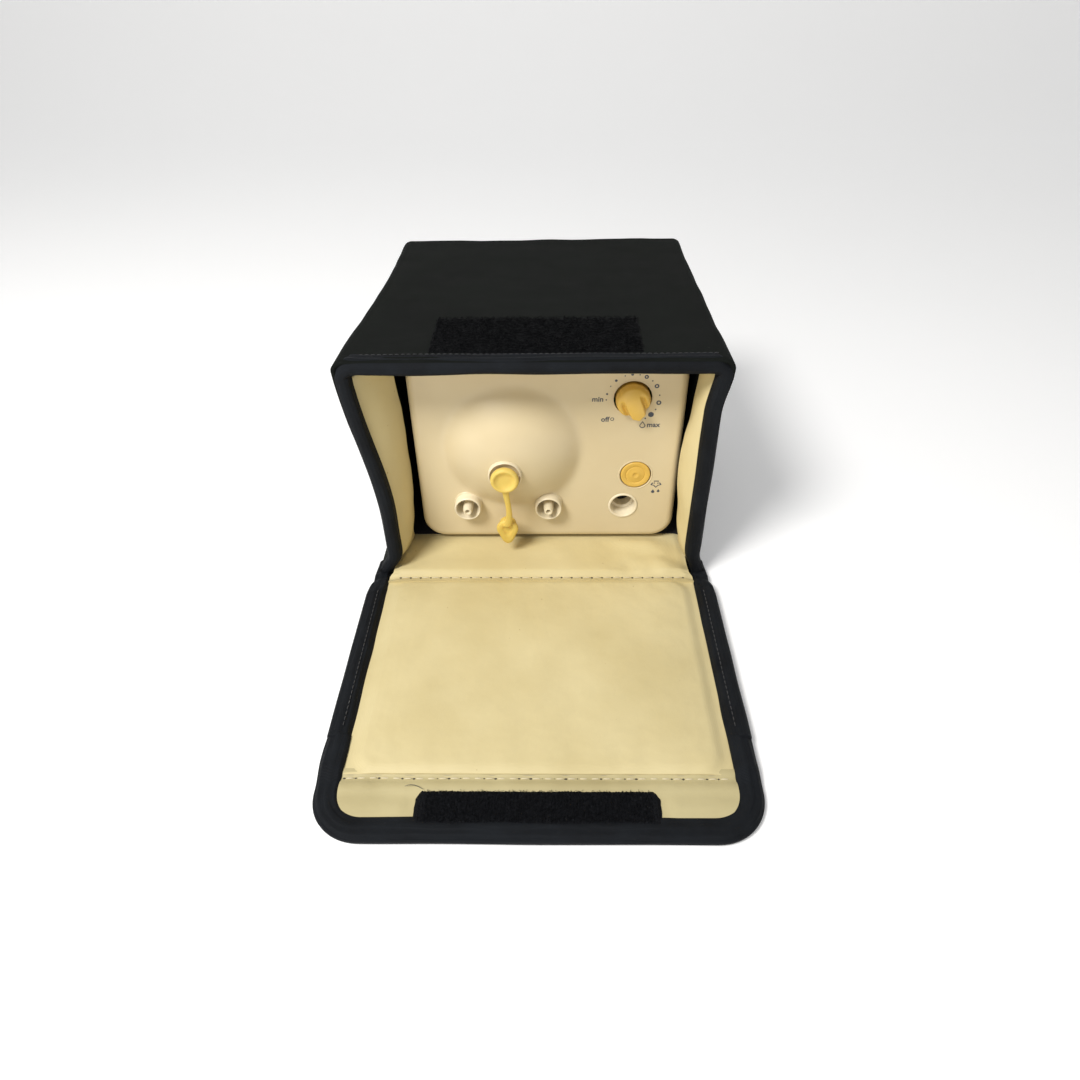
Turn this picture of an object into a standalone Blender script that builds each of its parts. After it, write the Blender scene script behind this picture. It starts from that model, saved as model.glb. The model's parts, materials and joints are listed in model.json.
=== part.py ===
"""An electric double breast pump: a motor unit that slides into a padded fabric case with a fold-down flap.

Metres, +Z up, the pump's face looks along -Y. The origin is the middle of the case's underside.
Run it with: blender --background --python part.py
"""

import math

import bmesh
import bpy
from mathutils import Matrix, Vector

GAP = 0.0003  # left between pieces that touch

# Padded case
CASE_WIDTH = 0.180
CASE_DEPTH = 0.178
CASE_HEIGHT = 0.132
OUTER_WALL = 0.0025  # black outer fabric with its stiffener
LINING_WALL = 0.0042  # padded lining
RIM_DEPTH = 0.007  # binding round the mouth, front to back
RIM_WIDTH = 0.0105
RIM_PROUD = 0.002  # binding outside the panels
RIM_CORNER = 0.009
LOOP_LENGTH = 0.100
LOOP_WIDTH = 0.041
LOOP_SETBACK = 0.010
TAPE_THICKNESS = 0.0019  # hook tape and loop tape

# Front flap and its tail
FLAP_HINGE_Z = 0.006
FLAP_GAP = 0.004  # from the hinge line to the flap's pieces
FLAP_OUTER = 0.0022
FLAP_BOARD = 0.0018
FLAP_LINING = 0.0024
FLAP_BINDING_WIDTH = 0.0105
FLAP_BINDING_HEIGHT = 0.008
FLAP_HALF_WIDTH = 0.0945
CLOSED_GAP = 0.0005  # between the closed flap and the rim
TAIL_LENGTH = 0.0295
TAIL_GAP = 0.002
TAIL_FLAP_GAP = 0.0035
TAIL_OUTER = 0.0016
TAIL_LINING = 0.0016
TAIL_BINDING_HEIGHT = 0.006
TAIL_CORNER = 0.020
HOOK_LENGTH = 0.102
HOOK_START = 0.0035  # from the tail's hinge line
HINGE_STRIP = 0.002

# Pump unit
UNIT_WIDTH = 0.144
UNIT_HEIGHT = 0.1135
UNIT_DEPTH = 0.136
UNIT_X = 0.004
UNIT_SETBACK = 0.027  # from the case's mouth to the face
UNIT_CORNER = 0.013
UNIT_EDGE = 0.004  # rounding of the face's rim
FOOT_HEIGHT = 0.0012
FOOT_RADIUS = 0.005
FOOT_INSET = 0.024
WALL = 0.0025
FRONT_DEPTH = 0.052
POST_RADIUS = 0.005
POST_INSET = 0.0075
SCREW_RADIUS = 0.0015
SCREW_HEAD_RADIUS = 0.0028
SCREW_HEAD_HEIGHT = 0.002
SCREW_BITE = 0.010
SCREW_CLEARANCE = 0.0002
SCREW_SEAT = 0.010  # rear post left under a screw's head

# Dome and diaphragm
DOME_X = -0.015
DOME_Z = 0.070
DOME_RADIUS = 0.036
DOME_HEIGHT = 0.015
CUP_RADIUS = 0.031
CUP_WALL = 0.002
CUP_FRONT = 0.001  # from the face back to the cup's front
CUP_DEPTH = 0.012
MANIFOLD_DROP = 0.0045  # from the ports' middle to the manifold's underside
MEMBRANE = 0.0012
MEMBRANE_WAVE = 0.0012
CLAMP_DEPTH = 0.003
CLAMP_BORE = 0.027
PISTON_RADIUS = 0.018
PISTON_THICKNESS = 0.0025

# Vacuum ports
PORT_MIDDLE_X = -0.0182
PORT_SPACING = 0.0452
PORT_Z = 0.0337
PORT_RADIUS = 0.0075
PORT_BORE = 0.0062
PORT_PROUD = 0.006
PORT_LENGTH = 0.016
PORT_FLOOR = 0.003
NIPPLE_BASE = 0.0028
NIPPLE_TIP = 0.0021
NIPPLE_BORE = 0.001
NIPPLE_SHORT = 0.001  # nipple's tip inside the port's rim
STUB_RADIUS = 0.003
STUB_LENGTH = 0.004

# Dial, button and power socket
DIAL_INSET = 0.0282  # from the unit's right side, as are the button's and the socket's
DIAL_X = UNIT_X + UNIT_WIDTH / 2 - DIAL_INSET
DIAL_Z = 0.0998
DIAL_RADIUS = 0.009
DIAL_CLEARANCE = 0.0009
DIAL_HOLE = DIAL_RADIUS + DIAL_CLEARANCE
DIAL_PROUD = 0.0045
DIAL_SUNK = 0.005
DIAL_GRIP_HEIGHT = 0.008
DIAL_GRIP_WIDTH = 0.0078
DIAL_GRIP_SINK = 0.0022  # part of the grip inside the skirt, so that the two join
DIAL_POINTER_REACH = 0.0112
DIAL_ANGLE = 22  # pointer at rest, degrees from straight down towards +X
SHAFT_RADIUS = 0.003
POT_SIZE = 0.016
POT_DEPTH = 0.009
BUTTON_INSET = 0.0238
BUTTON_X = UNIT_X + UNIT_WIDTH / 2 - BUTTON_INSET
BUTTON_Z = 0.0528
BUTTON_RADIUS = 0.0082
BUTTON_GAP = 0.0004
BUTTON_PROUD = 0.0006
BUTTON_THICKNESS = 0.0045
BUTTON_TRAVEL = 0.0015
PLUNGER_RADIUS = 0.002
SWITCH_SIZE = 0.006
SWITCH_DEPTH = 0.005
SOCKET_INSET = 0.0296
SOCKET_X = UNIT_X + UNIT_WIDTH / 2 - SOCKET_INSET
SOCKET_Z = 0.0320
SOCKET_RADIUS = 0.0083
SOCKET_BORE = 0.0068
SOCKET_PROUD = 0.0006
SOCKET_LENGTH = 0.0150
JACK_SIZE = 0.014
JACK_DEPTH = 0.008
JACK_BARREL = 0.0028
JACK_PIN = 0.0010
BOARD_WIDTH = 0.029
BOARD_HEIGHT = 0.098
BOARD_THICKNESS = 0.0016
BOARD_BEHIND_FACE = 0.026

# Tethered port cap
ANCHOR_X = -0.0185
ANCHOR_Z = 0.062
ANCHOR_RADIUS = 0.0082
ANCHOR_THICKNESS = 0.0045
ANCHOR_DISH = 0.0012  # disc's middle below its rim
COLLAR_RADIUS = 0.0095
COLLAR_PROUD = 0.0155
STEM_RADIUS = 0.002
STEM_CLEARANCE = 0.0003
STEM_LENGTH = 0.009
CAP_DROP = 0.0365  # anchor to cap, which is also anchor to either port
CAP_RADIUS = 0.0070
CAP_FLANGE = 0.0025
CAP_BODY_RADIUS = 0.0050
CAP_BODY = 0.0045
CAP_TAB = 0.0125  # tip of the pull tab below the cap's middle
CAP_TIP = 0.0016  # half width of the tab's blunt end
CAP_TIP_BEVEL = 0.0006
CAP_CLEARANCE = 0.0010  # cap's plug in front of the ports
STRAP_WIDTH = 0.0042
STRAP_THICKNESS = 0.0018

# Drive
MODULE = 0.001
PINION_TEETH = 14
RACK_TEETH = 8
TOOTH_ADDENDUM = 0.8  # in modules
TOOTH_DEDENDUM = 1.05
TOOTH_BACKLASH = 0.00016
PRESSURE_ANGLE = math.radians(20)
PINION_WIDTH = 0.005
ROD_SIZE = 0.006
ROD_BACK = 0.020
DRIVE_Y = 0.0
DRIVE_SHAFT_RADIUS = 0.002
DRIVE_SHAFT_LOW = 0.057
DRIVE_SHAFT_HIGH = 0.087
BUSH_RADIUS = 0.004
BUSH_CLEARANCE = 0.00005
DRIVEN_PULLEY_RADIUS = 0.020
MOTOR_PULLEY_RADIUS = 0.005
PULLEY_WIDTH = 0.005
PULLEY_Z = 0.079
BELT_THICKNESS = 0.0012
BELT_WIDTH = 0.004
BELT_SLACK = 0.00025  # more than the belt's chords cut inside its circle
MOTOR_X = 0.044
MOTOR_Y = 0.010
MOTOR_RADIUS = 0.014
MOTOR_LENGTH = 0.040
MOTOR_NOSE = 0.003
MOTOR_SHAFT_RADIUS = 0.001
PLATE = 0.002
PLATE_Z = 0.0745  # underside of the plate that carries motor and shaft
FRAME_LOW_Z = 0.060
FRAME_LEFT = -0.045
FRAME_RIGHT = 0.015
FRAME_FRONT = -0.024
FRAME_BACK = 0.026
PILLAR_RADIUS = 0.004
STANDOFF_RADIUS = 0.0022

# Places that follow from the sizes
MOUTH_Y = -CASE_DEPTH / 2
FACE_Y = MOUTH_Y + UNIT_SETBACK
LINED_WALL = OUTER_WALL + GAP + LINING_WALL
UNIT_LOW_Z = LINED_WALL + GAP + FOOT_HEIGHT + GAP
UNIT_MIDDLE_Z = UNIT_LOW_Z + UNIT_HEIGHT / 2
UNIT_BACK_Y = FACE_Y + UNIT_DEPTH
SPLIT_Y = FACE_Y + FRONT_DEPTH
BOARD_Y = FACE_Y + BOARD_BEHIND_FACE
RIM_TOP = CASE_HEIGHT + RIM_PROUD
FLAP_HINGE_Y = MOUTH_Y - CLOSED_GAP - (FLAP_BINDING_HEIGHT - FLAP_HINGE_Z)
TAIL_HINGE_Z = TAIL_OUTER + GAP + TAIL_LINING
HIGHEST_TOP = max(RIM_TOP, CASE_HEIGHT + GAP + TAPE_THICKNESS)
TAIL_INNER_PROUD = max(TAIL_BINDING_HEIGHT - TAIL_HINGE_Z, GAP + TAPE_THICKNESS)
FLAP_REACH = HIGHEST_TOP + GAP + TAIL_INNER_PROUD - FLAP_HINGE_Z
TAIL_HINGE_Y = FLAP_HINGE_Y - FLAP_REACH
FLAP_NEAR_Y = FLAP_HINGE_Y - FLAP_GAP
FLAP_FAR_Y = TAIL_HINGE_Y + TAIL_FLAP_GAP
TAIL_NEAR_Y = TAIL_HINGE_Y - TAIL_GAP
TAIL_FAR_Y = TAIL_HINGE_Y - TAIL_LENGTH
FLAP_FIELD = FLAP_HALF_WIDTH - FLAP_BINDING_WIDTH - GAP  # half width inside the bindings
CUP_BACK_Y = FACE_Y + CUP_FRONT + CUP_DEPTH
CLAMP_Y = CUP_BACK_Y + MEMBRANE + 2 * GAP
PITCH_RADIUS = MODULE * PINION_TEETH / 2
RACK_PITCH_X = DOME_X + ROD_SIZE / 2 + TOOTH_DEDENDUM * MODULE
PINION_X = RACK_PITCH_X + PITCH_RADIUS
MOTOR_Z = PLATE_Z - GAP - MOTOR_LENGTH

ROUND = 24  # sides of a round piece
SMALL_ROUND = 12


def clear_scene():
    for obj in list(bpy.data.objects):
        bpy.data.objects.remove(obj)


def new_collection(name):
    collection = bpy.data.collections.new(name)
    bpy.context.scene.collection.children.link(collection)
    return collection


def make_material(name, colour, roughness, metallic=0.0):
    material = bpy.data.materials.new(name)
    material.use_nodes = True
    shader = material.node_tree.nodes["Principled BSDF"]
    shader.inputs["Base Color"].default_value = (*colour, 1)
    shader.inputs["Roughness"].default_value = roughness
    shader.inputs["Metallic"].default_value = metallic
    return material


clear_scene()
PARTS = new_collection("breast_pump")
CUTTERS = new_collection("cutters")

BLACK_FABRIC = make_material("black_fabric", (0.012, 0.013, 0.016), 0.85)
LINING_FABRIC = make_material("lining_fabric", (0.66, 0.54, 0.27), 0.7)
HOOK_AND_LOOP = make_material("hook_and_loop", (0.006, 0.006, 0.008), 0.95)
BOARD = make_material("stiffener_board", (0.35, 0.30, 0.22), 0.8)
CREAM_PLASTIC = make_material("cream_plastic", (0.72, 0.62, 0.40), 0.45)
YELLOW_PLASTIC = make_material("yellow_plastic", (0.75, 0.47, 0.09), 0.4)
YELLOW_SILICONE = make_material("yellow_silicone", (0.78, 0.54, 0.14), 0.55)
BLACK_PLASTIC = make_material("black_plastic", (0.02, 0.02, 0.02), 0.5)
RUBBER = make_material("rubber", (0.05, 0.05, 0.05), 0.8)
SILICONE = make_material("silicone", (0.75, 0.75, 0.72), 0.5)
STEEL = make_material("steel", (0.6, 0.6, 0.62), 0.3, 1.0)
BRASS = make_material("brass", (0.75, 0.55, 0.25), 0.35, 1.0)
CIRCUIT_BOARD = make_material("circuit_board", (0.03, 0.2, 0.07), 0.6)
WHITE_ACETAL = make_material("white_acetal", (0.85, 0.85, 0.82), 0.35)


def add_object(name, mesh, material=None, location=(0, 0, 0), rotation=(0, 0, 0)):
    """A named object in the parts' collection or, with no material, a cutter."""
    obj = bpy.data.objects.new(name, mesh)
    obj.location = location
    obj.rotation_euler = rotation
    if material:
        mesh.materials.append(material)
        PARTS.objects.link(obj)
    else:
        CUTTERS.objects.link(obj)
        obj.hide_render = True
        obj.display_type = "WIRE"
    return obj


def add_bevel(obj, width, segments=1, angle=30):
    bevel = obj.modifiers.new("Bevel", "BEVEL")
    bevel.width = width
    bevel.segments = segments
    bevel.limit_method = "ANGLE"
    bevel.angle_limit = math.radians(angle)
    return obj


def add_boolean(obj, other, operation="DIFFERENCE"):
    boolean = obj.modifiers.new(operation.title(), "BOOLEAN")
    boolean.operation = operation
    boolean.object = other
    return obj


def box_mesh(low, high):
    low, high = Vector(low), Vector(high)
    shape = bmesh.new()
    bmesh.ops.create_cube(shape, size=1)
    bmesh.ops.scale(shape, vec=high - low, verts=shape.verts)
    bmesh.ops.translate(shape, vec=(low + high) / 2, verts=shape.verts)
    mesh = bpy.data.meshes.new("box")
    shape.to_mesh(mesh)
    shape.free()
    return mesh


def box(name, low, high, material=None, bevel=0.0, segments=1):
    obj = add_object(name, box_mesh(low, high), material)
    return add_bevel(obj, bevel, segments) if bevel else obj


ALONG = {
    "+Z": Matrix.Identity(4),
    "-Y": Matrix.Rotation(math.pi / 2, 4, "X"),
    "+Y": Matrix.Rotation(-math.pi / 2, 4, "X"),
}


def cylinders(name, radius, length, starts, along, material=None, sides=SMALL_ROUND):
    """Cylinders of one size in one mesh. Each begins at its start and runs along an axis of ALONG."""
    shape = bmesh.new()
    for start in starts:
        middle = Matrix.Translation((0, 0, length / 2))
        bmesh.ops.create_cone(
            shape,
            cap_ends=True,
            segments=sides,
            radius1=radius,
            radius2=radius,
            depth=length,
            matrix=Matrix.Translation(start) @ ALONG[along] @ middle,
        )
    mesh = bpy.data.meshes.new(name)
    shape.to_mesh(mesh)
    shape.free()
    shade_round(mesh)
    return add_object(name, mesh, material)


def cylinder(name, radius, length, start, along, material=None, sides=SMALL_ROUND):
    return cylinders(name, radius, length, [start], along, material, sides)


def shade_round(mesh):
    mesh.shade_smooth()
    mesh.set_sharp_from_angle(angle=math.radians(40))


def turned(name, profile, place, along, material=None, sides=ROUND):
    """A turned solid. Its profile is (radius, height) down its outer side, then up any bore."""
    closed = profile[0][0] > 0
    mesh = bpy.data.meshes.new(name)
    points = [(radius, 0, height) for radius, height in profile]
    count = len(points)
    edges = [(i, i + 1) for i in range(count - 1)]
    if closed:
        edges.append((count - 1, 0))
    mesh.from_pydata(points, edges, [])
    obj = add_object(name, mesh, material, place, ALONG[along].to_euler())
    screw = obj.modifiers.new("Screw", "SCREW")
    screw.steps = screw.render_steps = sides
    screw.use_merge_vertices = True
    screw.merge_threshold = 0.00001
    screw.use_smooth_shade = True
    return obj


def rounded_rectangle(width, height, radius, steps=4):
    """Corner points of a rectangle round (0, 0) with rounded corners, anticlockwise."""
    points = []
    for quarter in range(4):
        middle_angle = math.pi / 4 + quarter * math.pi / 2
        x = math.copysign(width / 2 - radius, math.cos(middle_angle))
        y = math.copysign(height / 2 - radius, math.sin(middle_angle))
        for step in range(steps + 1):
            angle = (quarter + step / steps) * math.pi / 2
            points.append((x + radius * math.cos(angle), y + radius * math.sin(angle)))
    return points


def flat_solid(name, points, thickness, place, rotation=(0, 0, 0), material=None):
    """An outline in its own XY plane, thickened by half each way, as a mesh with welded caps."""
    curve = bpy.data.curves.new(name, "CURVE")
    curve.dimensions = "2D"
    curve.fill_mode = "BOTH"
    curve.extrude = thickness / 2
    spline = curve.splines.new("POLY")
    spline.points.add(len(points) - 1)
    for point, (x, y) in zip(spline.points, points):
        point.co = (x, y, 0, 1)
    spline.use_cyclic_u = True
    source = bpy.data.objects.new(name + "_outline", curve)
    bpy.context.scene.collection.objects.link(source)
    bpy.context.view_layer.update()
    graph = bpy.context.evaluated_depsgraph_get()
    mesh = bpy.data.meshes.new_from_object(source.evaluated_get(graph))
    bpy.data.objects.remove(source)
    shape = bmesh.new()
    shape.from_mesh(mesh)
    bmesh.ops.remove_doubles(shape, verts=shape.verts, dist=0.00001)
    bmesh.ops.recalc_face_normals(shape, faces=shape.faces)
    shape.to_mesh(mesh)
    shape.free()
    mesh.materials.clear()
    return add_object(name, mesh, material, place, rotation)


def arch(half_width, height, radius, steps=4):
    """Up from (-half_width, 0), over the top with rounded corners, and down to (half_width, 0)."""
    x, top = half_width - radius, height - radius
    left = [
        (-x - radius * math.cos(a), top + radius * math.sin(a))
        for a in (math.pi / 2 * i / steps for i in range(steps + 1))
    ]
    right = [(-px, py) for px, py in reversed(left)]
    return [(-half_width, 0), *left, *right, (half_width, 0)]


def u_band(half_width, height, radius, width):
    """A band round three sides of a rectangle, with its open side at y = 0."""
    inner_radius = max(radius - width, 0.001)
    inner = arch(half_width - width, height - width, inner_radius)
    return [*arch(half_width, height, radius), *reversed(inner)]


# --- Padded case -----------------------------------------------------------------------------


def make_case_panels():
    """Five outer panels and five lining panels, which butt with a small gap."""
    half, back = CASE_WIDTH / 2, CASE_DEPTH / 2
    front = MOUTH_Y + RIM_DEPTH + GAP
    for prefix, inset, wall, material in (
        ("outer", 0, OUTER_WALL, BLACK_FABRIC),
        ("lining", OUTER_WALL + GAP, LINING_WALL, LINING_FABRIC),
    ):
        x, low, high, end = half - inset, inset, CASE_HEIGHT - inset, back - inset
        x_in, low_in, high_in = x - wall, low + wall, high - wall
        edge = wall / 4
        bottom_front = (-x, MOUTH_Y, low)
        box(prefix + "_bottom", bottom_front, (x, end, low_in), material, edge)
        box(prefix + "_top", (-x, front, high_in), (x, end, high), material, edge)
        side_low, side_high = low_in + GAP, high_in - GAP
        for name, x0, x1 in (("_left", -x, -x_in), ("_right", x_in, x)):
            low_corner, high_corner = (x0, front, side_low), (x1, end, side_high)
            box(prefix + name, low_corner, high_corner, material, edge)
        back_low = (-x_in + GAP, end - wall, side_low)
        back_high = (x_in - GAP, end, side_high)
        box(prefix + "_back", back_low, back_high, material, edge)


def make_rim():
    """The binding that wraps the mouth's sides and top."""
    low = OUTER_WALL + GAP + LINING_WALL + GAP
    outline = u_band(
        CASE_WIDTH / 2 + RIM_PROUD, RIM_TOP - low, RIM_CORNER, RIM_WIDTH
    )
    rim = flat_solid(
        "rim_binding",
        outline,
        RIM_DEPTH,
        (0, MOUTH_Y + RIM_DEPTH / 2, low),
        (math.pi / 2, 0, 0),
        BLACK_FABRIC,
    )
    add_bevel(rim, RIM_DEPTH * 0.3, 2)


def make_loop_strip():
    low = CASE_HEIGHT + GAP
    front = MOUTH_Y + LOOP_SETBACK
    box(
        "loop_strip",
        (-LOOP_LENGTH / 2, front, low),
        (LOOP_LENGTH / 2, front + LOOP_WIDTH, low + TAPE_THICKNESS),
        HOOK_AND_LOOP,
        TAPE_THICKNESS / 4,
    )


# --- Front flap and tail ---------------------------------------------------------------------


def make_flap():
    layers = (
        ("flap_outer", 0, FLAP_OUTER, BLACK_FABRIC),
        ("flap_board", FLAP_OUTER + GAP, FLAP_BOARD, BOARD),
        ("flap_lining", FLAP_OUTER + FLAP_BOARD + 2 * GAP, FLAP_LINING, LINING_FABRIC),
    )
    for name, low, thickness, material in layers:
        high_corner = (FLAP_FIELD, FLAP_NEAR_Y, low + thickness)
        low_corner = (-FLAP_FIELD, FLAP_FAR_Y, low)
        box(name, low_corner, high_corner, material, thickness / 4)
    for name, side in (("flap_binding_left", -1), ("flap_binding_right", 1)):
        x = sorted((side * FLAP_HALF_WIDTH, side * (FLAP_HALF_WIDTH - FLAP_BINDING_WIDTH)))
        low_corner = (x[0], FLAP_FAR_Y, 0)
        high_corner = (x[1], FLAP_NEAR_Y, FLAP_BINDING_HEIGHT)
        box(name, low_corner, high_corner, BLACK_FABRIC, FLAP_BINDING_HEIGHT * 0.35, 2)


def make_hinge_strips():
    """The turns of outer fabric that join case to flap and flap to tail."""
    for name, near, far in (
        ("flap_hinge_strip", MOUTH_Y, FLAP_NEAR_Y),
        ("tail_hinge_strip", FLAP_FAR_Y, TAIL_NEAR_Y),
    ):
        box(
            name,
            (-FLAP_FIELD, far + GAP, HINGE_STRIP / 4),
            (FLAP_FIELD, near - GAP, HINGE_STRIP * 5 / 4),
            BLACK_FABRIC,
            HINGE_STRIP / 4,
        )


def tail_outline(inset):
    """The tail's field inside its binding, with rounded far corners. The near edge is at y = 0."""
    length = TAIL_NEAR_Y - TAIL_FAR_Y
    return arch(FLAP_HALF_WIDTH - inset, length - inset, TAIL_CORNER - inset)


def make_tail():
    # The outlines point along -Y: turned half round about X, so that their own +Z looks down.
    turned_over = (math.pi, 0, 0)
    inset = FLAP_BINDING_WIDTH + GAP
    for name, low, thickness, material in (
        ("tail_outer", 0, TAIL_OUTER, BLACK_FABRIC),
        ("tail_lining", TAIL_OUTER + GAP, TAIL_LINING, LINING_FABRIC),
    ):
        place = (0, TAIL_NEAR_Y, low + thickness / 2)
        flat_solid(name, tail_outline(inset), thickness, place, turned_over, material)
    length = TAIL_NEAR_Y - TAIL_FAR_Y
    band = u_band(FLAP_HALF_WIDTH, length, TAIL_CORNER, FLAP_BINDING_WIDTH)
    place = (0, TAIL_NEAR_Y, TAIL_BINDING_HEIGHT / 2)
    binding = flat_solid(
        "tail_binding", band, TAIL_BINDING_HEIGHT, place, turned_over, BLACK_FABRIC
    )
    add_bevel(binding, TAIL_BINDING_HEIGHT * 0.3, 2)


def make_hook_strip():
    low = TAIL_HINGE_Z + GAP
    far = TAIL_FAR_Y + FLAP_BINDING_WIDTH + GAP
    box(
        "hook_strip",
        (-HOOK_LENGTH / 2, far, low),
        (HOOK_LENGTH / 2, TAIL_HINGE_Y - HOOK_START, low + TAPE_THICKNESS),
        HOOK_AND_LOOP,
        TAPE_THICKNESS / 4,
    )


# --- Pump unit: housings ---------------------------------------------------------------------


def half_housing(name, depth, face_forward):
    """One half of the housing: an open surface with a rounded closed end, made a shell by Solidify."""
    outline = rounded_rectangle(UNIT_WIDTH, UNIT_HEIGHT, UNIT_CORNER)
    shape = bmesh.new()
    ends = [[shape.verts.new((x, y, z)) for x, y in outline] for z in (0, depth)]
    count = len(outline)
    for i in range(count):
        j = (i + 1) % count
        shape.faces.new((ends[0][i], ends[0][j], ends[1][j], ends[1][i]))
    shape.faces.new(ends[1])
    shape.edges.ensure_lookup_table()
    weights = shape.edges.layers.float.new("bevel_weight_edge")
    for edge in shape.edges:
        if all(vertex in ends[1] for vertex in edge.verts):
            edge[weights] = 1
    mesh = bpy.data.meshes.new(name)
    shape.to_mesh(mesh)
    shape.free()
    along = "-Y" if face_forward else "+Y"
    y = SPLIT_Y if face_forward else SPLIT_Y + GAP
    place = (UNIT_X, y, UNIT_MIDDLE_Z)
    obj = add_object(name, mesh, CREAM_PLASTIC, place, ALONG[along].to_euler())
    bevel = obj.modifiers.new("Bevel", "BEVEL")
    bevel.limit_method = "WEIGHT"
    bevel.width = UNIT_EDGE
    bevel.segments = 3
    shell = obj.modifiers.new("Solidify", "SOLIDIFY")
    shell.thickness = WALL
    shell.offset = -1
    shell.use_even_offset = True
    return obj


def post_places(y):
    x = UNIT_WIDTH / 2 - POST_INSET
    z = UNIT_HEIGHT / 2 - POST_INSET
    return [
        (UNIT_X + side * x, y, UNIT_MIDDLE_Z + up * z)
        for side in (-1, 1)
        for up in (-1, 1)
    ]


def dome_profile(radius, height, foot):
    """A spherical cap's profile, from its pole down to its base and on down by foot."""
    sphere = (radius**2 + height**2) / (2 * height)
    spread = math.asin(radius / sphere)
    steps = 6
    points = []
    for step in range(steps + 1):
        angle = spread * step / steps
        rise = sphere * math.cos(angle) - (sphere - height)
        points.append((sphere * math.sin(angle), rise))
    points.append((radius, -foot))
    points.append((0, -foot))
    return points


def port_places(y):
    return [
        (PORT_MIDDLE_X + side * PORT_SPACING / 2, y, PORT_Z) for side in (-1, 1)
    ]


def board_corners(y):
    """Where the face's standoffs meet the circuit board."""
    x = BOARD_WIDTH / 2 - STANDOFF_RADIUS
    return [
        (DIAL_X + side * x, y, z)
        for side in (-1, 1)
        for z in (UNIT_LOW_Z + 3 * WALL + STANDOFF_RADIUS, (DIAL_Z + BUTTON_Z) / 2)
    ]


def make_front_housing():
    housing = half_housing("front_housing", FRONT_DEPTH, True)
    dome_place = (DOME_X, FACE_Y, DOME_Z)
    foot = WALL * 0.6
    dome = turned("dome_outside", dome_profile(DOME_RADIUS, DOME_HEIGHT, foot), dome_place, "-Y")
    add_boolean(housing, dome, "UNION")
    collar = cylinder(
        "cap_collar",
        COLLAR_RADIUS,
        COLLAR_PROUD - DOME_HEIGHT / 2,
        (ANCHOR_X, FACE_Y - DOME_HEIGHT / 2, ANCHOR_Z),
        "-Y",
        sides=ROUND,
    )
    add_boolean(housing, collar, "UNION")
    hollow_foot = 2 * WALL
    hollow_radius = DOME_RADIUS - WALL
    hollow = dome_profile(hollow_radius, DOME_HEIGHT - WALL, hollow_foot)
    add_boolean(housing, turned("dome_inside", hollow, dome_place, "-Y"))
    posts = cylinders(
        "front_posts",
        POST_RADIUS,
        FRONT_DEPTH - WALL / 2,
        post_places(FACE_Y + WALL / 2),
        "+Y",
    )
    add_boolean(housing, posts, "UNION")
    standoffs = cylinders(
        "board_standoffs",
        STANDOFF_RADIUS,
        BOARD_BEHIND_FACE - GAP - WALL / 2,
        board_corners(FACE_Y + WALL / 2),
        "+Y",
        sides=8,
    )
    add_boolean(housing, standoffs, "UNION")
    behind, length = FACE_Y + 2 * WALL, 2 * WALL + DOME_HEIGHT
    round_holes = (
        ("port_holes", PORT_RADIUS + GAP, port_places(behind)),
        ("dial_hole", DIAL_HOLE, [(DIAL_X, behind, DIAL_Z)]),
        ("button_hole", BUTTON_RADIUS + BUTTON_GAP, [(BUTTON_X, behind, BUTTON_Z)]),
        ("socket_hole", SOCKET_RADIUS + GAP, [(SOCKET_X, behind, SOCKET_Z)]),
    )
    for name, radius, places in round_holes:
        add_boolean(housing, cylinders(name, radius, length, places, "-Y", sides=ROUND))
    stem_hole = cylinder(
        "stem_hole",
        STEM_RADIUS + STEM_CLEARANCE,
        2 * COLLAR_PROUD,
        (ANCHOR_X, FACE_Y, ANCHOR_Z),
        "-Y",
    )
    add_boolean(housing, stem_hole)
    pilots = cylinders(
        "screw_pilots",
        SCREW_RADIUS + SCREW_CLEARANCE,
        SCREW_BITE + 2 * WALL,
        post_places(SPLIT_Y + WALL),
        "-Y",
    )
    add_boolean(housing, pilots)


def make_rear_housing():
    housing = half_housing("rear_housing", UNIT_DEPTH - FRONT_DEPTH - GAP, False)
    start = SPLIT_Y + GAP
    length = UNIT_BACK_Y - start - WALL / 2
    posts = cylinders("rear_posts", POST_RADIUS, length, post_places(start), "+Y")
    add_boolean(housing, posts, "UNION")
    seat = SPLIT_Y + SCREW_SEAT
    wells = cylinders(
        "screw_wells",
        SCREW_HEAD_RADIUS + 2 * SCREW_CLEARANCE,
        UNIT_DEPTH,
        post_places(seat),
        "+Y",
    )
    add_boolean(housing, wells)
    floor = UNIT_LOW_Z + WALL / 2
    pillar_places = [
        (x, y, floor)
        for x in (FRAME_LEFT + 2 * PILLAR_RADIUS, FRAME_RIGHT - 2 * PILLAR_RADIUS)
        for y in (0, FRAME_BACK - 2 * PILLAR_RADIUS)
    ]
    pillars = cylinders(
        "frame_pillars", PILLAR_RADIUS, FRAME_LOW_Z - GAP - floor, pillar_places, "+Z"
    )
    add_boolean(housing, pillars, "UNION")
    holes = cylinders(
        "screw_holes",
        SCREW_RADIUS + SCREW_CLEARANCE,
        UNIT_DEPTH,
        post_places(SPLIT_Y - WALL),
        "+Y",
    )
    add_boolean(housing, holes)


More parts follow.
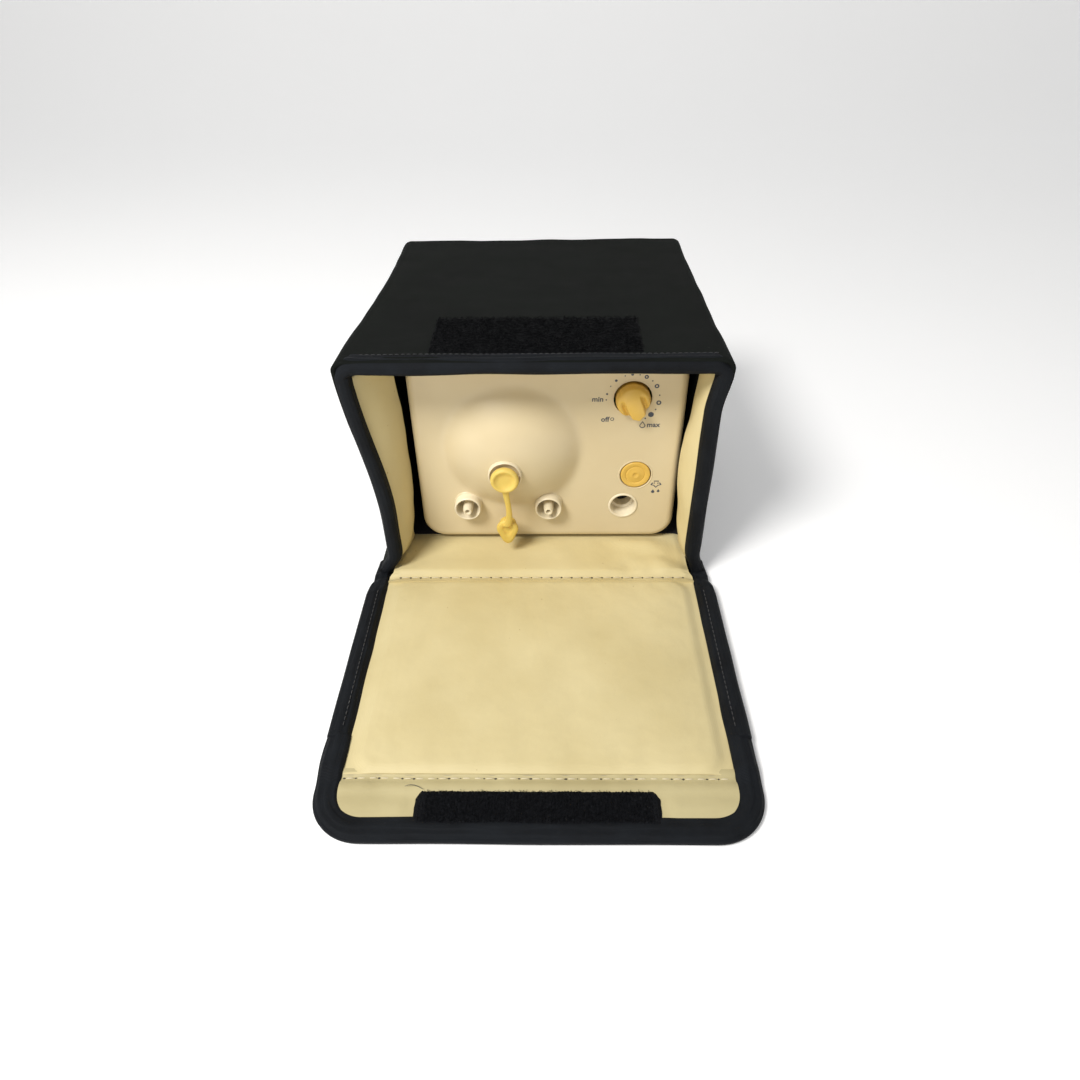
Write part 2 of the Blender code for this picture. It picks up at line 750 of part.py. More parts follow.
def make_screws():
    head_y = SPLIT_Y + SCREW_SEAT + GAP
    shank = SCREW_SEAT + SCREW_BITE
    profile = [
        (0, SCREW_HEAD_HEIGHT),
        (SCREW_HEAD_RADIUS * 0.8, SCREW_HEAD_HEIGHT),
        (SCREW_HEAD_RADIUS, SCREW_HEAD_HEIGHT / 2),
        (SCREW_HEAD_RADIUS, 0),
        (SCREW_RADIUS, 0),
        (SCREW_RADIUS, -shank),
        (0, -shank - SCREW_RADIUS),
    ]
    for number, place in enumerate(post_places(head_y), 1):
        turned(f"housing_screw_{number}", profile, place, "+Y", STEEL, SMALL_ROUND)


def make_feet():
    low = LINED_WALL + GAP
    number = 0
    for side in (-1, 1):
        for y in (FACE_Y + FOOT_INSET, UNIT_BACK_Y - FOOT_INSET):
            number += 1
            x = UNIT_X + side * (UNIT_WIDTH / 2 - FOOT_INSET)
            place = (x, y, low)
            cylinder(f"rubber_foot_{number}", FOOT_RADIUS, FOOT_HEIGHT, place, "+Z", RUBBER)


# --- Pump unit: face fittings ----------------------------------------------------------------


def make_ports():
    """Each port is a ring round a hollow nipple, with a stub behind that enters the air manifold."""
    front, back = PORT_LENGTH, 0
    floor = back + PORT_FLOOR
    tip = front - NIPPLE_SHORT
    profile = [
        (PORT_BORE, front),
        (PORT_RADIUS, front),
        (PORT_RADIUS, back),
        (STUB_RADIUS, back),
        (STUB_RADIUS, back - STUB_LENGTH),
        (NIPPLE_BORE, back - STUB_LENGTH),
        (NIPPLE_BORE, tip),
        (NIPPLE_TIP, tip),
        (NIPPLE_BASE, floor),
        (PORT_BORE, floor),
    ]
    places = port_places(FACE_Y - PORT_PROUD + PORT_LENGTH)
    for name, place in zip(("port_left", "port_right"), places):
        turned(name, profile, place, "-Y", CREAM_PLASTIC)


def make_dial():
    """The knob: a round skirt in the face's hole, and a raised pointer grip. It sits on the shaft."""
    skirt = turned(
        "dial_knob",
        [
            (0, DIAL_PROUD),
            (DIAL_RADIUS * 0.9, DIAL_PROUD),
            (DIAL_RADIUS, DIAL_PROUD - DIAL_RADIUS * 0.1),
            (DIAL_RADIUS, -DIAL_SUNK),
            (0, -DIAL_SUNK),
        ],
        (DIAL_X, FACE_Y, DIAL_Z),
        "-Y",
        YELLOW_PLASTIC,
    )
    half = DIAL_GRIP_WIDTH / 2
    back = DIAL_RADIUS * 0.86
    grip_outline = [
        (-half, -back * 0.86),
        (half, -back * 0.86),
        (half, DIAL_RADIUS * 0.55),
        (half * 0.3, DIAL_POINTER_REACH),
        (-half * 0.3, DIAL_POINTER_REACH),
        (-half, DIAL_RADIUS * 0.55),
    ]
    grip_depth = DIAL_GRIP_HEIGHT - DIAL_PROUD + DIAL_GRIP_SINK
    middle = DIAL_GRIP_HEIGHT - grip_depth / 2
    turn = math.radians(180 - DIAL_ANGLE)
    grip = flat_solid("dial_grip", grip_outline, grip_depth, (0, 0, 0))
    grip.matrix_world = (
        Matrix.Translation((DIAL_X, FACE_Y - middle, DIAL_Z))
        @ Matrix.Rotation(turn, 4, "Y")
        @ Matrix.Rotation(math.pi / 2, 4, "X")
    )
    add_boolean(skirt, grip, "UNION")
    bore_start = (DIAL_X, FACE_Y + DIAL_SUNK + WALL, DIAL_Z)
    bore = cylinder("dial_bore", SHAFT_RADIUS + GAP, DIAL_SUNK + WALL, bore_start, "-Y")
    add_boolean(skirt, bore)
    pot_back = BOARD_Y - GAP
    pot_front = pot_back - POT_DEPTH
    shaft_length = pot_front - GAP - (FACE_Y + GAP)
    shaft_start = (DIAL_X, FACE_Y + GAP + shaft_length, DIAL_Z)
    cylinder("dial_shaft", SHAFT_RADIUS, shaft_length, shaft_start, "-Y", STEEL)
    half_pot = POT_SIZE / 2
    box(
        "potentiometer",
        (DIAL_X - half_pot, pot_front, DIAL_Z - half_pot),
        (DIAL_X + half_pot, pot_back, DIAL_Z + half_pot),
        BLACK_PLASTIC,
        POT_SIZE / 16,
    )


def make_button():
    """The button cap with its plunger, and the switch that it presses."""
    switch_back = BOARD_Y - GAP
    switch_front = switch_back - SWITCH_DEPTH
    cap_back = BUTTON_THICKNESS - BUTTON_PROUD
    plunger_end = switch_front - GAP - BUTTON_TRAVEL - FACE_Y
    turned(
        "letdown_button",
        [
            (0, BUTTON_PROUD),
            (BUTTON_RADIUS * 0.92, BUTTON_PROUD),
            (BUTTON_RADIUS, BUTTON_PROUD - BUTTON_RADIUS * 0.08),
            (BUTTON_RADIUS, -cap_back),
            (PLUNGER_RADIUS, -cap_back),
            (PLUNGER_RADIUS, -plunger_end),
            (0, -plunger_end),
        ],
        (BUTTON_X, FACE_Y, BUTTON_Z),
        "-Y",
        YELLOW_PLASTIC,
    )
    half = SWITCH_SIZE / 2
    box(
        "button_switch",
        (BUTTON_X - half, switch_front, BUTTON_Z - half),
        (BUTTON_X + half, switch_back, BUTTON_Z + half),
        BLACK_PLASTIC,
        SWITCH_SIZE / 12,
    )


def make_power_socket():
    """A cream sleeve in the face leads the plug to a black jack on the circuit board."""
    turned(
        "socket_sleeve",
        [
            (SOCKET_BORE, 0),
            (SOCKET_RADIUS, 0),
            (SOCKET_RADIUS, -SOCKET_LENGTH),
            (SOCKET_BORE, -SOCKET_LENGTH),
        ],
        (SOCKET_X, FACE_Y - SOCKET_PROUD, SOCKET_Z),
        "-Y",
        CREAM_PLASTIC,
    )
    half = JACK_SIZE / 2
    jack_front = FACE_Y - SOCKET_PROUD + SOCKET_LENGTH + GAP
    jack = box(
        "power_jack",
        (SOCKET_X - half, jack_front, SOCKET_Z - half),
        (SOCKET_X + half, BOARD_Y - GAP, SOCKET_Z + half),
        BLACK_PLASTIC,
    )
    barrel = turned(
        "jack_barrel_hole",
        [
            (JACK_PIN, JACK_DEPTH),
            (JACK_BARREL, JACK_DEPTH),
            (JACK_BARREL, 0),
            (JACK_PIN, 0),
        ],
        (SOCKET_X, jack_front + JACK_DEPTH / 2, SOCKET_Z),
        "-Y",
        sides=SMALL_ROUND,
    )
    add_boolean(jack, barrel)


def make_circuit_board():
    low = UNIT_LOW_Z + 2 * WALL
    box(
        "circuit_board",
        (DIAL_X - BOARD_WIDTH / 2, BOARD_Y, low),
        (DIAL_X + BOARD_WIDTH / 2, BOARD_Y + BOARD_THICKNESS, low + BOARD_HEIGHT),
        CIRCUIT_BOARD,
    )


def make_port_cap():
    """One silicone moulding: a disc held to the dome by its stem, a strap, and a cap with a pull tab.

    It turns about the stem, so the cap swings over to either port.
    """
    collar_y = FACE_Y - COLLAR_PROUD - GAP
    cap = turned(
        "port_cap",
        [
            (0, ANCHOR_THICKNESS - ANCHOR_DISH),
            (ANCHOR_RADIUS * 0.72, ANCHOR_THICKNESS - ANCHOR_DISH),
            (ANCHOR_RADIUS * 0.78, ANCHOR_THICKNESS),
            (ANCHOR_RADIUS * 0.94, ANCHOR_THICKNESS),
            (ANCHOR_RADIUS, ANCHOR_THICKNESS - ANCHOR_RADIUS * 0.06),
            (ANCHOR_RADIUS, 0),
            (STEM_RADIUS, 0),
            (STEM_RADIUS, -STEM_LENGTH),
            (0, -STEM_LENGTH),
        ],
        (ANCHOR_X, collar_y, ANCHOR_Z),
        "-Y",
        YELLOW_SILICONE,
    )
    cap_z = ANCHOR_Z - CAP_DROP
    plug_back = FACE_Y - PORT_PROUD - CAP_CLEARANCE
    flange_back = plug_back - CAP_BODY
    flange_front = flange_back - CAP_FLANGE
    outline = []
    first, sweep, steps = -30, 240, 18
    for step in range(steps + 1):
        angle = math.radians(first + sweep * step / steps)
        outline.append((CAP_RADIUS * math.cos(angle), CAP_RADIUS * math.sin(angle)))
    tip_side = -CAP_TAB + CAP_TIP_BEVEL
    outline += [(-CAP_TIP, tip_side), (0, -CAP_TAB), (CAP_TIP, tip_side)]
    middle = (ANCHOR_X, (flange_front + flange_back) / 2, cap_z)
    flange = flat_solid("cap_flange", outline, CAP_FLANGE, middle, (math.pi / 2, 0, 0))
    plug_start = (ANCHOR_X, plug_back, cap_z)
    plug_length = CAP_BODY + CAP_FLANGE / 2
    plug = cylinder("cap_plug", CAP_BODY_RADIUS, plug_length, plug_start, "-Y", sides=16)
    strap_front = collar_y - ANCHOR_THICKNESS * 0.55
    top = Vector((ANCHOR_X, strap_front, ANCHOR_Z - ANCHOR_RADIUS * 0.75))
    bottom = Vector((ANCHOR_X, middle[1], cap_z + CAP_RADIUS * 0.7))
    run = bottom - top
    strap_mesh = box_mesh(
        (-STRAP_WIDTH / 2, -STRAP_THICKNESS / 2, -run.length),
        (STRAP_WIDTH / 2, STRAP_THICKNESS / 2, 0),
    )
    lean = math.atan2(run.y, -run.z)
    strap = add_object("cap_strap", strap_mesh, None, top, (lean, 0, 0))
    for piece in (strap, flange, plug):
        add_boolean(cap, piece, "UNION")
    socket_start = (ANCHOR_X, plug_back + WALL, cap_z)
    socket = cylinder(
        "cap_socket",
        NIPPLE_BASE + GAP,
        CAP_BODY + WALL - GAP,
        socket_start,
        "-Y",
    )
    add_boolean(cap, socket)


# --- Pump unit: diaphragm and drive ----------------------------------------------------------


def make_diaphragm():
    """An air cup in front, a thin membrane across it, and a ring that clamps the membrane."""
    cup_place = (DOME_X, CUP_BACK_Y, DOME_Z)
    cup = turned(
        "chamber_cup",
        [
            (0, CUP_DEPTH),
            (CUP_RADIUS - CUP_WALL, CUP_DEPTH),
            (CUP_RADIUS, CUP_DEPTH - CUP_WALL),
            (CUP_RADIUS, 0),
            (CUP_RADIUS - CUP_WALL, 0),
            (CUP_RADIUS - CUP_WALL, CUP_DEPTH - CUP_WALL),
            (0, CUP_DEPTH - CUP_WALL),
        ],
        cup_place,
        "-Y",
        CREAM_PLASTIC,
    )
    port_back = FACE_Y - PORT_PROUD + PORT_LENGTH
    x = PORT_SPACING / 2 + PORT_RADIUS
    high = DOME_Z - CUP_RADIUS - GAP
    manifold = box(
        "manifold_bar",
        (PORT_MIDDLE_X - x, port_back + GAP, PORT_Z - MANIFOLD_DROP),
        (PORT_MIDDLE_X + x, port_back + GAP + STUB_LENGTH + CUP_WALL, high),
    )
    neck_end = min(CUP_BACK_Y, port_back + STUB_LENGTH) - GAP
    neck = box(
        "manifold_neck",
        (DOME_X - STUB_LENGTH, CUP_BACK_Y - CUP_DEPTH / 2, high - CUP_WALL),
        (DOME_X + STUB_LENGTH, neck_end, high + 2 * CUP_WALL),
    )
    for piece in (neck, manifold):
        add_boolean(cup, piece, "UNION")
    sockets = cylinders(
        "stub_sockets",
        STUB_RADIUS + GAP,
        2 * STUB_LENGTH,
        port_places(port_back + STUB_LENGTH + GAP * 2),
        "-Y",
    )
    add_boolean(cup, sockets)
    fold_radius = (CLAMP_BORE + PISTON_RADIUS) / 2
    turned(
        "diaphragm_membrane",
        [
            (0, 0),
            (PISTON_RADIUS, 0),
            (fold_radius, MEMBRANE_WAVE),
            (CLAMP_BORE, 0),
            (CUP_RADIUS, 0),
            (CUP_RADIUS, -MEMBRANE),
            (CLAMP_BORE, -MEMBRANE),
            (fold_radius, MEMBRANE_WAVE - MEMBRANE),
            (PISTON_RADIUS, -MEMBRANE),
            (0, -MEMBRANE),
        ],
        (DOME_X, CUP_BACK_Y + GAP, DOME_Z),
        "-Y",
        SILICONE,
    )
    turned(
        "clamp_ring",
        [
            (CLAMP_BORE, 0),
            (CUP_RADIUS, 0),
            (CUP_RADIUS, -CLAMP_DEPTH),
            (CLAMP_BORE, -CLAMP_DEPTH),
        ],
        (DOME_X, CLAMP_Y, DOME_Z),
        "-Y",
        WHITE_ACETAL,
    )


def make_suction_rod():
    """A disc behind the membrane, and a square rod with rack teeth on its +X side."""
    half = ROD_SIZE / 2
    front = CLAMP_Y + PISTON_THICKNESS
    rod = box(
        "suction_rod",
        (DOME_X - half, front - PISTON_THICKNESS / 2, DOME_Z - half),
        (DOME_X + half, ROD_BACK, DOME_Z + half),
        WHITE_ACETAL,
    )
    disc_start = (DOME_X, front, DOME_Z)
    disc = cylinder("piston_disc", PISTON_RADIUS, PISTON_THICKNESS, disc_start, "-Y", sides=ROUND)
    add_boolean(rod, disc, "UNION")
    pitch = math.pi * MODULE
    slope = math.tan(PRESSURE_ANGLE)
    # A tooth's half thickness at the pitch line is a quarter pitch less its share of the backlash.
    half_tooth = pitch / 4 - TOOTH_BACKLASH / 4
    root, tip = -TOOTH_DEDENDUM * MODULE, TOOTH_ADDENDUM * MODULE
    sunk = root - ROD_SIZE / 4
    first = DRIVE_Y - (RACK_TEETH - 3) * pitch
    start, end = first - pitch / 2, first + (RACK_TEETH - 0.5) * pitch
    points = [(sunk, start), (root, start)]
    for tooth in range(RACK_TEETH):
        middle = first + tooth * pitch
        low, high = half_tooth - slope * root, half_tooth - slope * tip
        points += [
            (root, middle - low),
            (tip, middle - high),
            (tip, middle + high),
            (root, middle + low),
        ]
    points += [(root, end), (sunk, end)]
    teeth = flat_solid("rack_teeth", points, PINION_WIDTH, (RACK_PITCH_X, 0, DOME_Z))
    add_boolean(rod, teeth, "UNION")


def pinion_outline():
    """Involute teeth. A gap's middle lies along -X, where it takes the rack's tooth at rest."""
    base = PITCH_RADIUS * math.cos(PRESSURE_ANGLE)
    tip = PITCH_RADIUS + TOOTH_ADDENDUM * MODULE
    root = PITCH_RADIUS - TOOTH_DEDENDUM * MODULE
    involute = math.tan(PRESSURE_ANGLE) - PRESSURE_ANGLE
    half_tooth = math.pi / (2 * PINION_TEETH) - TOOTH_BACKLASH / (4 * PITCH_RADIUS)
    flank = []
    steps = 2
    for step in range(steps + 1):
        radius = base + (tip - base) * step / steps
        roll = math.acos(min(1, base / radius))
        flank.append((radius, half_tooth + involute - (math.tan(roll) - roll)))
    flank.insert(0, (root, flank[0][1]))
    points = []
    for tooth in range(PINION_TEETH):
        middle = math.pi + (tooth + 0.5) * 2 * math.pi / PINION_TEETH
        sides = [(r, middle - a) for r, a in flank]
        sides += [(r, middle + a) for r, a in reversed(flank)]
        points += [(r * math.cos(a), r * math.sin(a)) for r, a in sides]
    return points


def make_drive_train():
    shaft_length = DRIVE_SHAFT_HIGH - DRIVE_SHAFT_LOW
    shaft_start = (PINION_X, DRIVE_Y, DRIVE_SHAFT_LOW)
    cylinder("drive_shaft", DRIVE_SHAFT_RADIUS, shaft_length, shaft_start, "+Z", STEEL)
    bore = DRIVE_SHAFT_RADIUS + GAP
    pinion_place = (PINION_X, DRIVE_Y, DOME_Z)
    pinion = flat_solid(
        "drive_pinion", pinion_outline(), PINION_WIDTH, pinion_place, (0, 0, 0), WHITE_ACETAL
    )
    bore_start = (PINION_X, DRIVE_Y, DOME_Z - PINION_WIDTH)
    bore_hole = cylinder("pinion_bore", bore, 2 * PINION_WIDTH, bore_start, "+Z")
    add_boolean(pinion, bore_hole)
    turned(
        "driven_pulley",
        [
            (bore, PULLEY_WIDTH),
            (DRIVEN_PULLEY_RADIUS, PULLEY_WIDTH),
            (DRIVEN_PULLEY_RADIUS, 0),
            (bore, 0),
        ],
        (PINION_X, DRIVE_Y, PULLEY_Z),
        "+Z",
        WHITE_ACETAL,
        40,
    )
    place = (MOTOR_X, MOTOR_Y, PULLEY_Z)
    shaft_low = PLATE_Z + PLATE / 2
    shaft_start = (MOTOR_X, MOTOR_Y, shaft_low)
    length = PULLEY_Z + PULLEY_WIDTH + PLATE - shaft_low
    cylinder("motor_shaft", MOTOR_SHAFT_RADIUS, length, shaft_start, "+Z", STEEL)
    motor_bore = MOTOR_SHAFT_RADIUS + GAP
    turned(
        "motor_pulley",
        [
            (motor_bore, PULLEY_WIDTH),
            (MOTOR_PULLEY_RADIUS, PULLEY_WIDTH),
            (MOTOR_PULLEY_RADIUS, 0),
            (motor_bore, 0),
        ],
        place,
        "+Z",
        BRASS,
    )


def belt_loop(offset, steps=14):
    """An open belt's outline round both pulleys, offset outwards from their rims."""
    big, small = DRIVEN_PULLEY_RADIUS + offset, MOTOR_PULLEY_RADIUS + offset
    across = Vector((MOTOR_X - PINION_X, MOTOR_Y - DRIVE_Y))
    heading = math.atan2(across.y, across.x)
    lean = math.acos((big - small) / across.length)
    points = []
    for centre, radius, first, last in (
        ((PINION_X, DRIVE_Y), big, heading + lean, heading + 2 * math.pi - lean),
        ((MOTOR_X, MOTOR_Y), small, heading - lean, heading + lean),
    ):
        for step in range(steps + 1):
            angle = first + (last - first) * step / steps
            points.append(
                (centre[0] + radius * math.cos(angle), centre[1] + radius * math.sin(angle))
            )
    return points


def make_belt():
    inner = GAP + BELT_SLACK
    z = PULLEY_Z + PULLEY_WIDTH / 2
    belt = flat_solid(
        "drive_belt", belt_loop(inner + BELT_THICKNESS), BELT_WIDTH, (0, 0, z), (0, 0, 0), RUBBER
    )
    hole = flat_solid("belt_inside", belt_loop(inner), 2 * BELT_WIDTH, (0, 0, z))
    add_boolean(belt, hole)


def make_motor():
    plate_gap = PLATE_Z - MOTOR_Z - MOTOR_LENGTH
    nose = plate_gap + PLATE / 2 - GAP
    turned(
        "drive_motor",
        [
            (0, MOTOR_LENGTH + nose),
            (MOTOR_NOSE, MOTOR_LENGTH + nose),
            (MOTOR_NOSE, MOTOR_LENGTH),
            (MOTOR_RADIUS, MOTOR_LENGTH),
            (MOTOR_RADIUS, MOTOR_LENGTH * 0.12),
            (MOTOR_RADIUS * 0.8, 0),
            (0, 0),
        ],
        (MOTOR_X, MOTOR_Y, MOTOR_Z),
        "+Z",
        STEEL,
    )


def make_mechanism_frame():
    """A bracket that carries the bushes, the motor and the rod's guide, and presses on the clamp ring."""
    half = ROD_SIZE / 2 + GAP
    frame_low = (FRAME_LEFT, FRAME_FRONT, FRAME_LOW_Z)
    plate_far = MOTOR_X + MOTOR_RADIUS + PLATE
    top_low = (FRAME_LEFT, FRAME_FRONT, PLATE_Z)
    top = (plate_far, FRAME_BACK, PLATE_Z + PLATE)
    frame = box("mechanism_frame", top_low, top, STEEL)
    lower_high = (FRAME_RIGHT, FRAME_BACK, FRAME_LOW_Z + PLATE)
    lower = box("frame_lower", frame_low, lower_high)
    high_z = PLATE_Z + PLATE / 2
    leg_front = CLAMP_Y + CLAMP_DEPTH + GAP
    left_low = (FRAME_LEFT, leg_front, FRAME_LOW_Z)
    left = box("frame_left", left_low, (FRAME_LEFT + PLATE, FRAME_BACK, high_z))
    right_low = (FRAME_RIGHT - PLATE, leg_front, FRAME_LOW_Z)
    right = box("frame_right", right_low, (FRAME_RIGHT, FRAME_BACK, high_z))
    guide = box("frame_guide", frame_low, (FRAME_RIGHT, FRAME_FRONT + PLATE, high_z))
    for piece in (lower, left, right, guide):
        add_boolean(frame, piece, "UNION")
    guide_hole = box(
        "guide_hole",
        (DOME_X - half, FRAME_FRONT - PLATE, DOME_Z - half),
        (DOME_X + half, FRAME_FRONT + 2 * PLATE, DOME_Z + half),
    )
    bush_seat = BUSH_RADIUS + GAP
    below = FRAME_LOW_Z - PLATE
    through = PLATE_Z + 3 * PLATE - below
    bush_holes = cylinder("bush_seats", bush_seat, through, (PINION_X, DRIVE_Y, below), "+Z")
    motor_below = (MOTOR_X, MOTOR_Y, PLATE_Z - PLATE)
    motor_hole = cylinder("motor_hole", MOTOR_NOSE + GAP, 3 * PLATE, motor_below, "+Z")
    for cutter in (guide_hole, bush_holes, motor_hole):
        add_boolean(frame, cutter)
    flange = BUSH_RADIUS * 1.4
    flange_thickness = PLATE / 2
    for name, seat, up in (
        ("shaft_bush_upper", PLATE_Z + PLATE + GAP, 1),
        ("shaft_bush_lower", FRAME_LOW_Z - GAP, -1),
    ):
        inside = -PLATE
        profile = [
            (DRIVE_SHAFT_RADIUS + BUSH_CLEARANCE, flange_thickness),
            (flange, flange_thickness),
            (flange, 0),
            (BUSH_RADIUS, 0),
            (BUSH_RADIUS, inside),
            (DRIVE_SHAFT_RADIUS + BUSH_CLEARANCE, inside),
        ]
        if up < 0:
            profile = [(radius, -height) for radius, height in reversed(profile)]
        turned(name, profile, (PINION_X, DRIVE_Y, seat), "+Z", BRASS)


def make_breast_pump():
    make_case_panels()
    make_rim()
    make_loop_strip()
    make_flap()
    make_hinge_strips()
    make_tail()
    make_hook_strip()
    make_front_housing()
    make_rear_housing()
    make_screws()
    make_feet()
    make_ports()
    make_dial()
    make_button()
    make_power_socket()
    make_circuit_board()
    make_port_cap()
    make_diaphragm()
    make_suction_rod()
    make_drive_train()
    make_belt()
    make_motor()
    make_mechanism_frame()


make_breast_pump()
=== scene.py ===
"""Looks of an electric double breast pump in its padded fabric case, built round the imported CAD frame.

Metres, +Z up. The pump's face looks along -Y, and the case stands on the plane z = 0.
"""

import json
import math
import random

import bmesh
import bpy
import numpy as np
from mathutils import Matrix, Vector, noise

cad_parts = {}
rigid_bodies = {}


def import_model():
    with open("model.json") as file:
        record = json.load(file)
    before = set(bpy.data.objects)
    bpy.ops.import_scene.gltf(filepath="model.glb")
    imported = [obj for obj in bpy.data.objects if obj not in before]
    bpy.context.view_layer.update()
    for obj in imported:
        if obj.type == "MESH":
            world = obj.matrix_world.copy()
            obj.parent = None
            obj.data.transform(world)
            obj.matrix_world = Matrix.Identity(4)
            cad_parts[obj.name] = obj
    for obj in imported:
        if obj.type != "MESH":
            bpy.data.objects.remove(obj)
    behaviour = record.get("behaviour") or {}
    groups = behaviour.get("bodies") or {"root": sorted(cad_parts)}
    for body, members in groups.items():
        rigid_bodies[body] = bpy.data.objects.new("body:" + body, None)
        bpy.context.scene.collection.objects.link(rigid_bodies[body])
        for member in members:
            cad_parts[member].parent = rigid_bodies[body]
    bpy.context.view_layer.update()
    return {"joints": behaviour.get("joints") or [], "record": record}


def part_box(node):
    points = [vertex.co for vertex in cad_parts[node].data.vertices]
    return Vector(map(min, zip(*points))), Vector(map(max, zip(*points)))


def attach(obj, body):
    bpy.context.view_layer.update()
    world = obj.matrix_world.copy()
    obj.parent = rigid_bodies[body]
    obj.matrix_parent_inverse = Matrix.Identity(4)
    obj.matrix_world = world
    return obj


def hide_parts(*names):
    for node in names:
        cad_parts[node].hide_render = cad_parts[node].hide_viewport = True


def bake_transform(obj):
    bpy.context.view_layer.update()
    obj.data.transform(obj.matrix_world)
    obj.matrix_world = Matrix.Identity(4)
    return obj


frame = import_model()

MM = 0.001
TAU = 2 * math.pi


# --- Places read from the frame --------------------------------------------------------------


def low_high(node):
    low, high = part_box(node)
    return np.array(low), np.array(high)


RIM_LOW, RIM_HIGH = low_high("rim_binding")
SHELL_LOW, SHELL_HIGH = low_high("outer_bottom")
TOP_HIGH = low_high("outer_top")[1]
FACE_LOW, FACE_HIGH = low_high("front_housing")
PAD_LOW, PAD_HIGH = low_high("flap_lining")
TAIL_LOW = low_high("tail_binding")[0]
LOOP_LOW, LOOP_HIGH = low_high("loop_strip")
HOOK_LOW, HOOK_HIGH = low_high("hook_strip")
CAP_FRONT_Y = low_high("port_cap")[0][1]

JOINTS = {joint["name"]: joint for joint in frame["joints"]}
TAIL_HINGE = Vector(JOINTS["tail_fold"]["pos_m"])
DIAL = Vector(JOINTS["dial_turn"]["pos_m"])
ANCHOR = Vector(JOINTS["cap_swing"]["pos_m"])

HALF_WIDTH = TOP_HIGH[0]
CASE_TOP = TOP_HIGH[2]
MOUTH_Y = RIM_LOW[1]
BACK_Y = SHELL_HIGH[1]
FACE_Y = DIAL.y
INNER_HALF = low_high("lining_right")[0][0]
FLOOR_LINING_Z = low_high("lining_bottom")[1][2]


def middle(node):
    low, high = low_high(node)
    return (low + high) / 2


PORTS = {side: middle("port_" + side) for side in ("left", "right")}
BUTTON = middle("letdown_button")
SOCKET = middle("socket_sleeve")

HINGE_FROM, HINGE_TO = SHELL_LOW[1], PAD_HIGH[1]
TAIL_FROM, TAIL_TO = PAD_LOW[1], TAIL_HINGE.y - 3.5 * MM
STITCH_Y = -94 * MM
TAIL_STITCH_Y = -220 * MM
TAIL_FAR_Y = TAIL_LOW[1] + 9.0 * MM
RIM_TOP_Z = CASE_TOP - 2.2 * MM
TOP_PUFF = 1.2 * MM
TAIL_LINING_Z = low_high("tail_lining")[1][2]
DOME = (-15 * MM, 70 * MM)
CAP_MIDDLE_Z = 25.5 * MM
DIAL_GRIP = 8.9 * MM
LINING_HALF = 84.4 * MM


# --- Mesh helpers ----------------------------------------------------------------------------


def smoothstep(value, start, end):
    t = np.clip((np.asarray(value, float) - start) / (end - start), 0, 1)
    return t * t * (3 - 2 * t)


def ripple(points, size, seed=0.0):
    """Smooth noise from -1 to 1 at each point, with lumps of about that size."""
    offset = Vector((seed, 2.7 * seed, -1.3 * seed))
    return np.array([noise.noise(Vector(p) / size + offset) for p in points])


def grid_faces(rows, columns, closed=False):
    """Quads between the points of rows x columns, numbered row by row."""
    last = columns if closed else columns - 1
    return [
        (
            row * columns + column,
            row * columns + (column + 1) % columns,
            (row + 1) * columns + (column + 1) % columns,
            (row + 1) * columns + column,
        )
        for row in range(rows - 1)
        for column in range(last)
    ]


def link(obj):
    bpy.context.scene.collection.objects.link(obj)
    return obj


def clean(mesh, merge=None):
    """Points all faces outward, after an optional merge of doubled points."""
    shape = bmesh.new()
    shape.from_mesh(mesh)
    if merge:
        bmesh.ops.remove_doubles(shape, verts=shape.verts, dist=merge)
    bmesh.ops.recalc_face_normals(shape, faces=shape.faces)
    shape.to_mesh(mesh)
    shape.free()


def make_piece(name, points, faces, material, sharp=40):
    mesh = bpy.data.meshes.new(name)
    mesh.from_pydata([tuple(point) for point in points], [], faces)
    clean(mesh)
    mesh.shade_smooth()
    mesh.set_sharp_from_angle(angle=math.radians(sharp))
    mesh.materials.append(material)
    return link(bpy.data.objects.new(name, mesh))


def tube_faces(rows, columns, base=0):
    """The skin and both ends of a tube of rings, whose points start at base."""
    faces = [tuple(i + base for i in face) for face in grid_faces(rows, columns, closed=True)]
    faces.append(tuple(base + i for i in range(columns)))
    faces.append(tuple(base + (rows - 1) * columns + i for i in range(columns)))
    return faces


def loft(name, sections, material, sharp=40):
    """A closed skin through sections, each one a ring of the same number of points."""
    sections = np.asarray(sections, float)
    return make_piece(name, sections.reshape(-1, 3), tube_faces(*sections.shape[:2]), material, sharp)


def flat_grid(xs, ys, z):
    """Rows of points at one height, one row for each y."""
    return np.array([[(x, y, z) for x in xs] for y in ys])


def slab(name, top, thickness, material, sharp=60):
    """A closed slab under a grid of points, thickness deep along -Z or by a given vector."""
    top = np.asarray(top, float)
    rows, columns = top.shape[:2]
    down = np.asarray(thickness, float)
    if down.size == 1:
        down = np.array((0, 0, -float(thickness)))
    upper = top.reshape(-1, 3)
    points = np.concatenate([upper, upper + down.reshape(-1, 3)])
    count = rows * columns
    faces = grid_faces(rows, columns)
    faces += [tuple(i + count for i in reversed(face)) for face in grid_faces(rows, columns)]
    border = (
        [(0, c) for c in range(columns)]
        + [(r, columns - 1) for r in range(1, rows)]
        + [(rows - 1, c) for c in range(columns - 2, -1, -1)]
        + [(r, 0) for r in range(rows - 2, 0, -1)]
    )
    ring = [r * columns + c for r, c in border]
    for a, b in zip(ring, ring[1:] + ring[:1]):
        faces.append((b, a, a + count, b + count))
    return make_piece(name, points, faces, material, sharp)


def in_front(place):
    """The point of the unit's flat face in front of a control."""
    return place[0], FACE_Y, place[2]


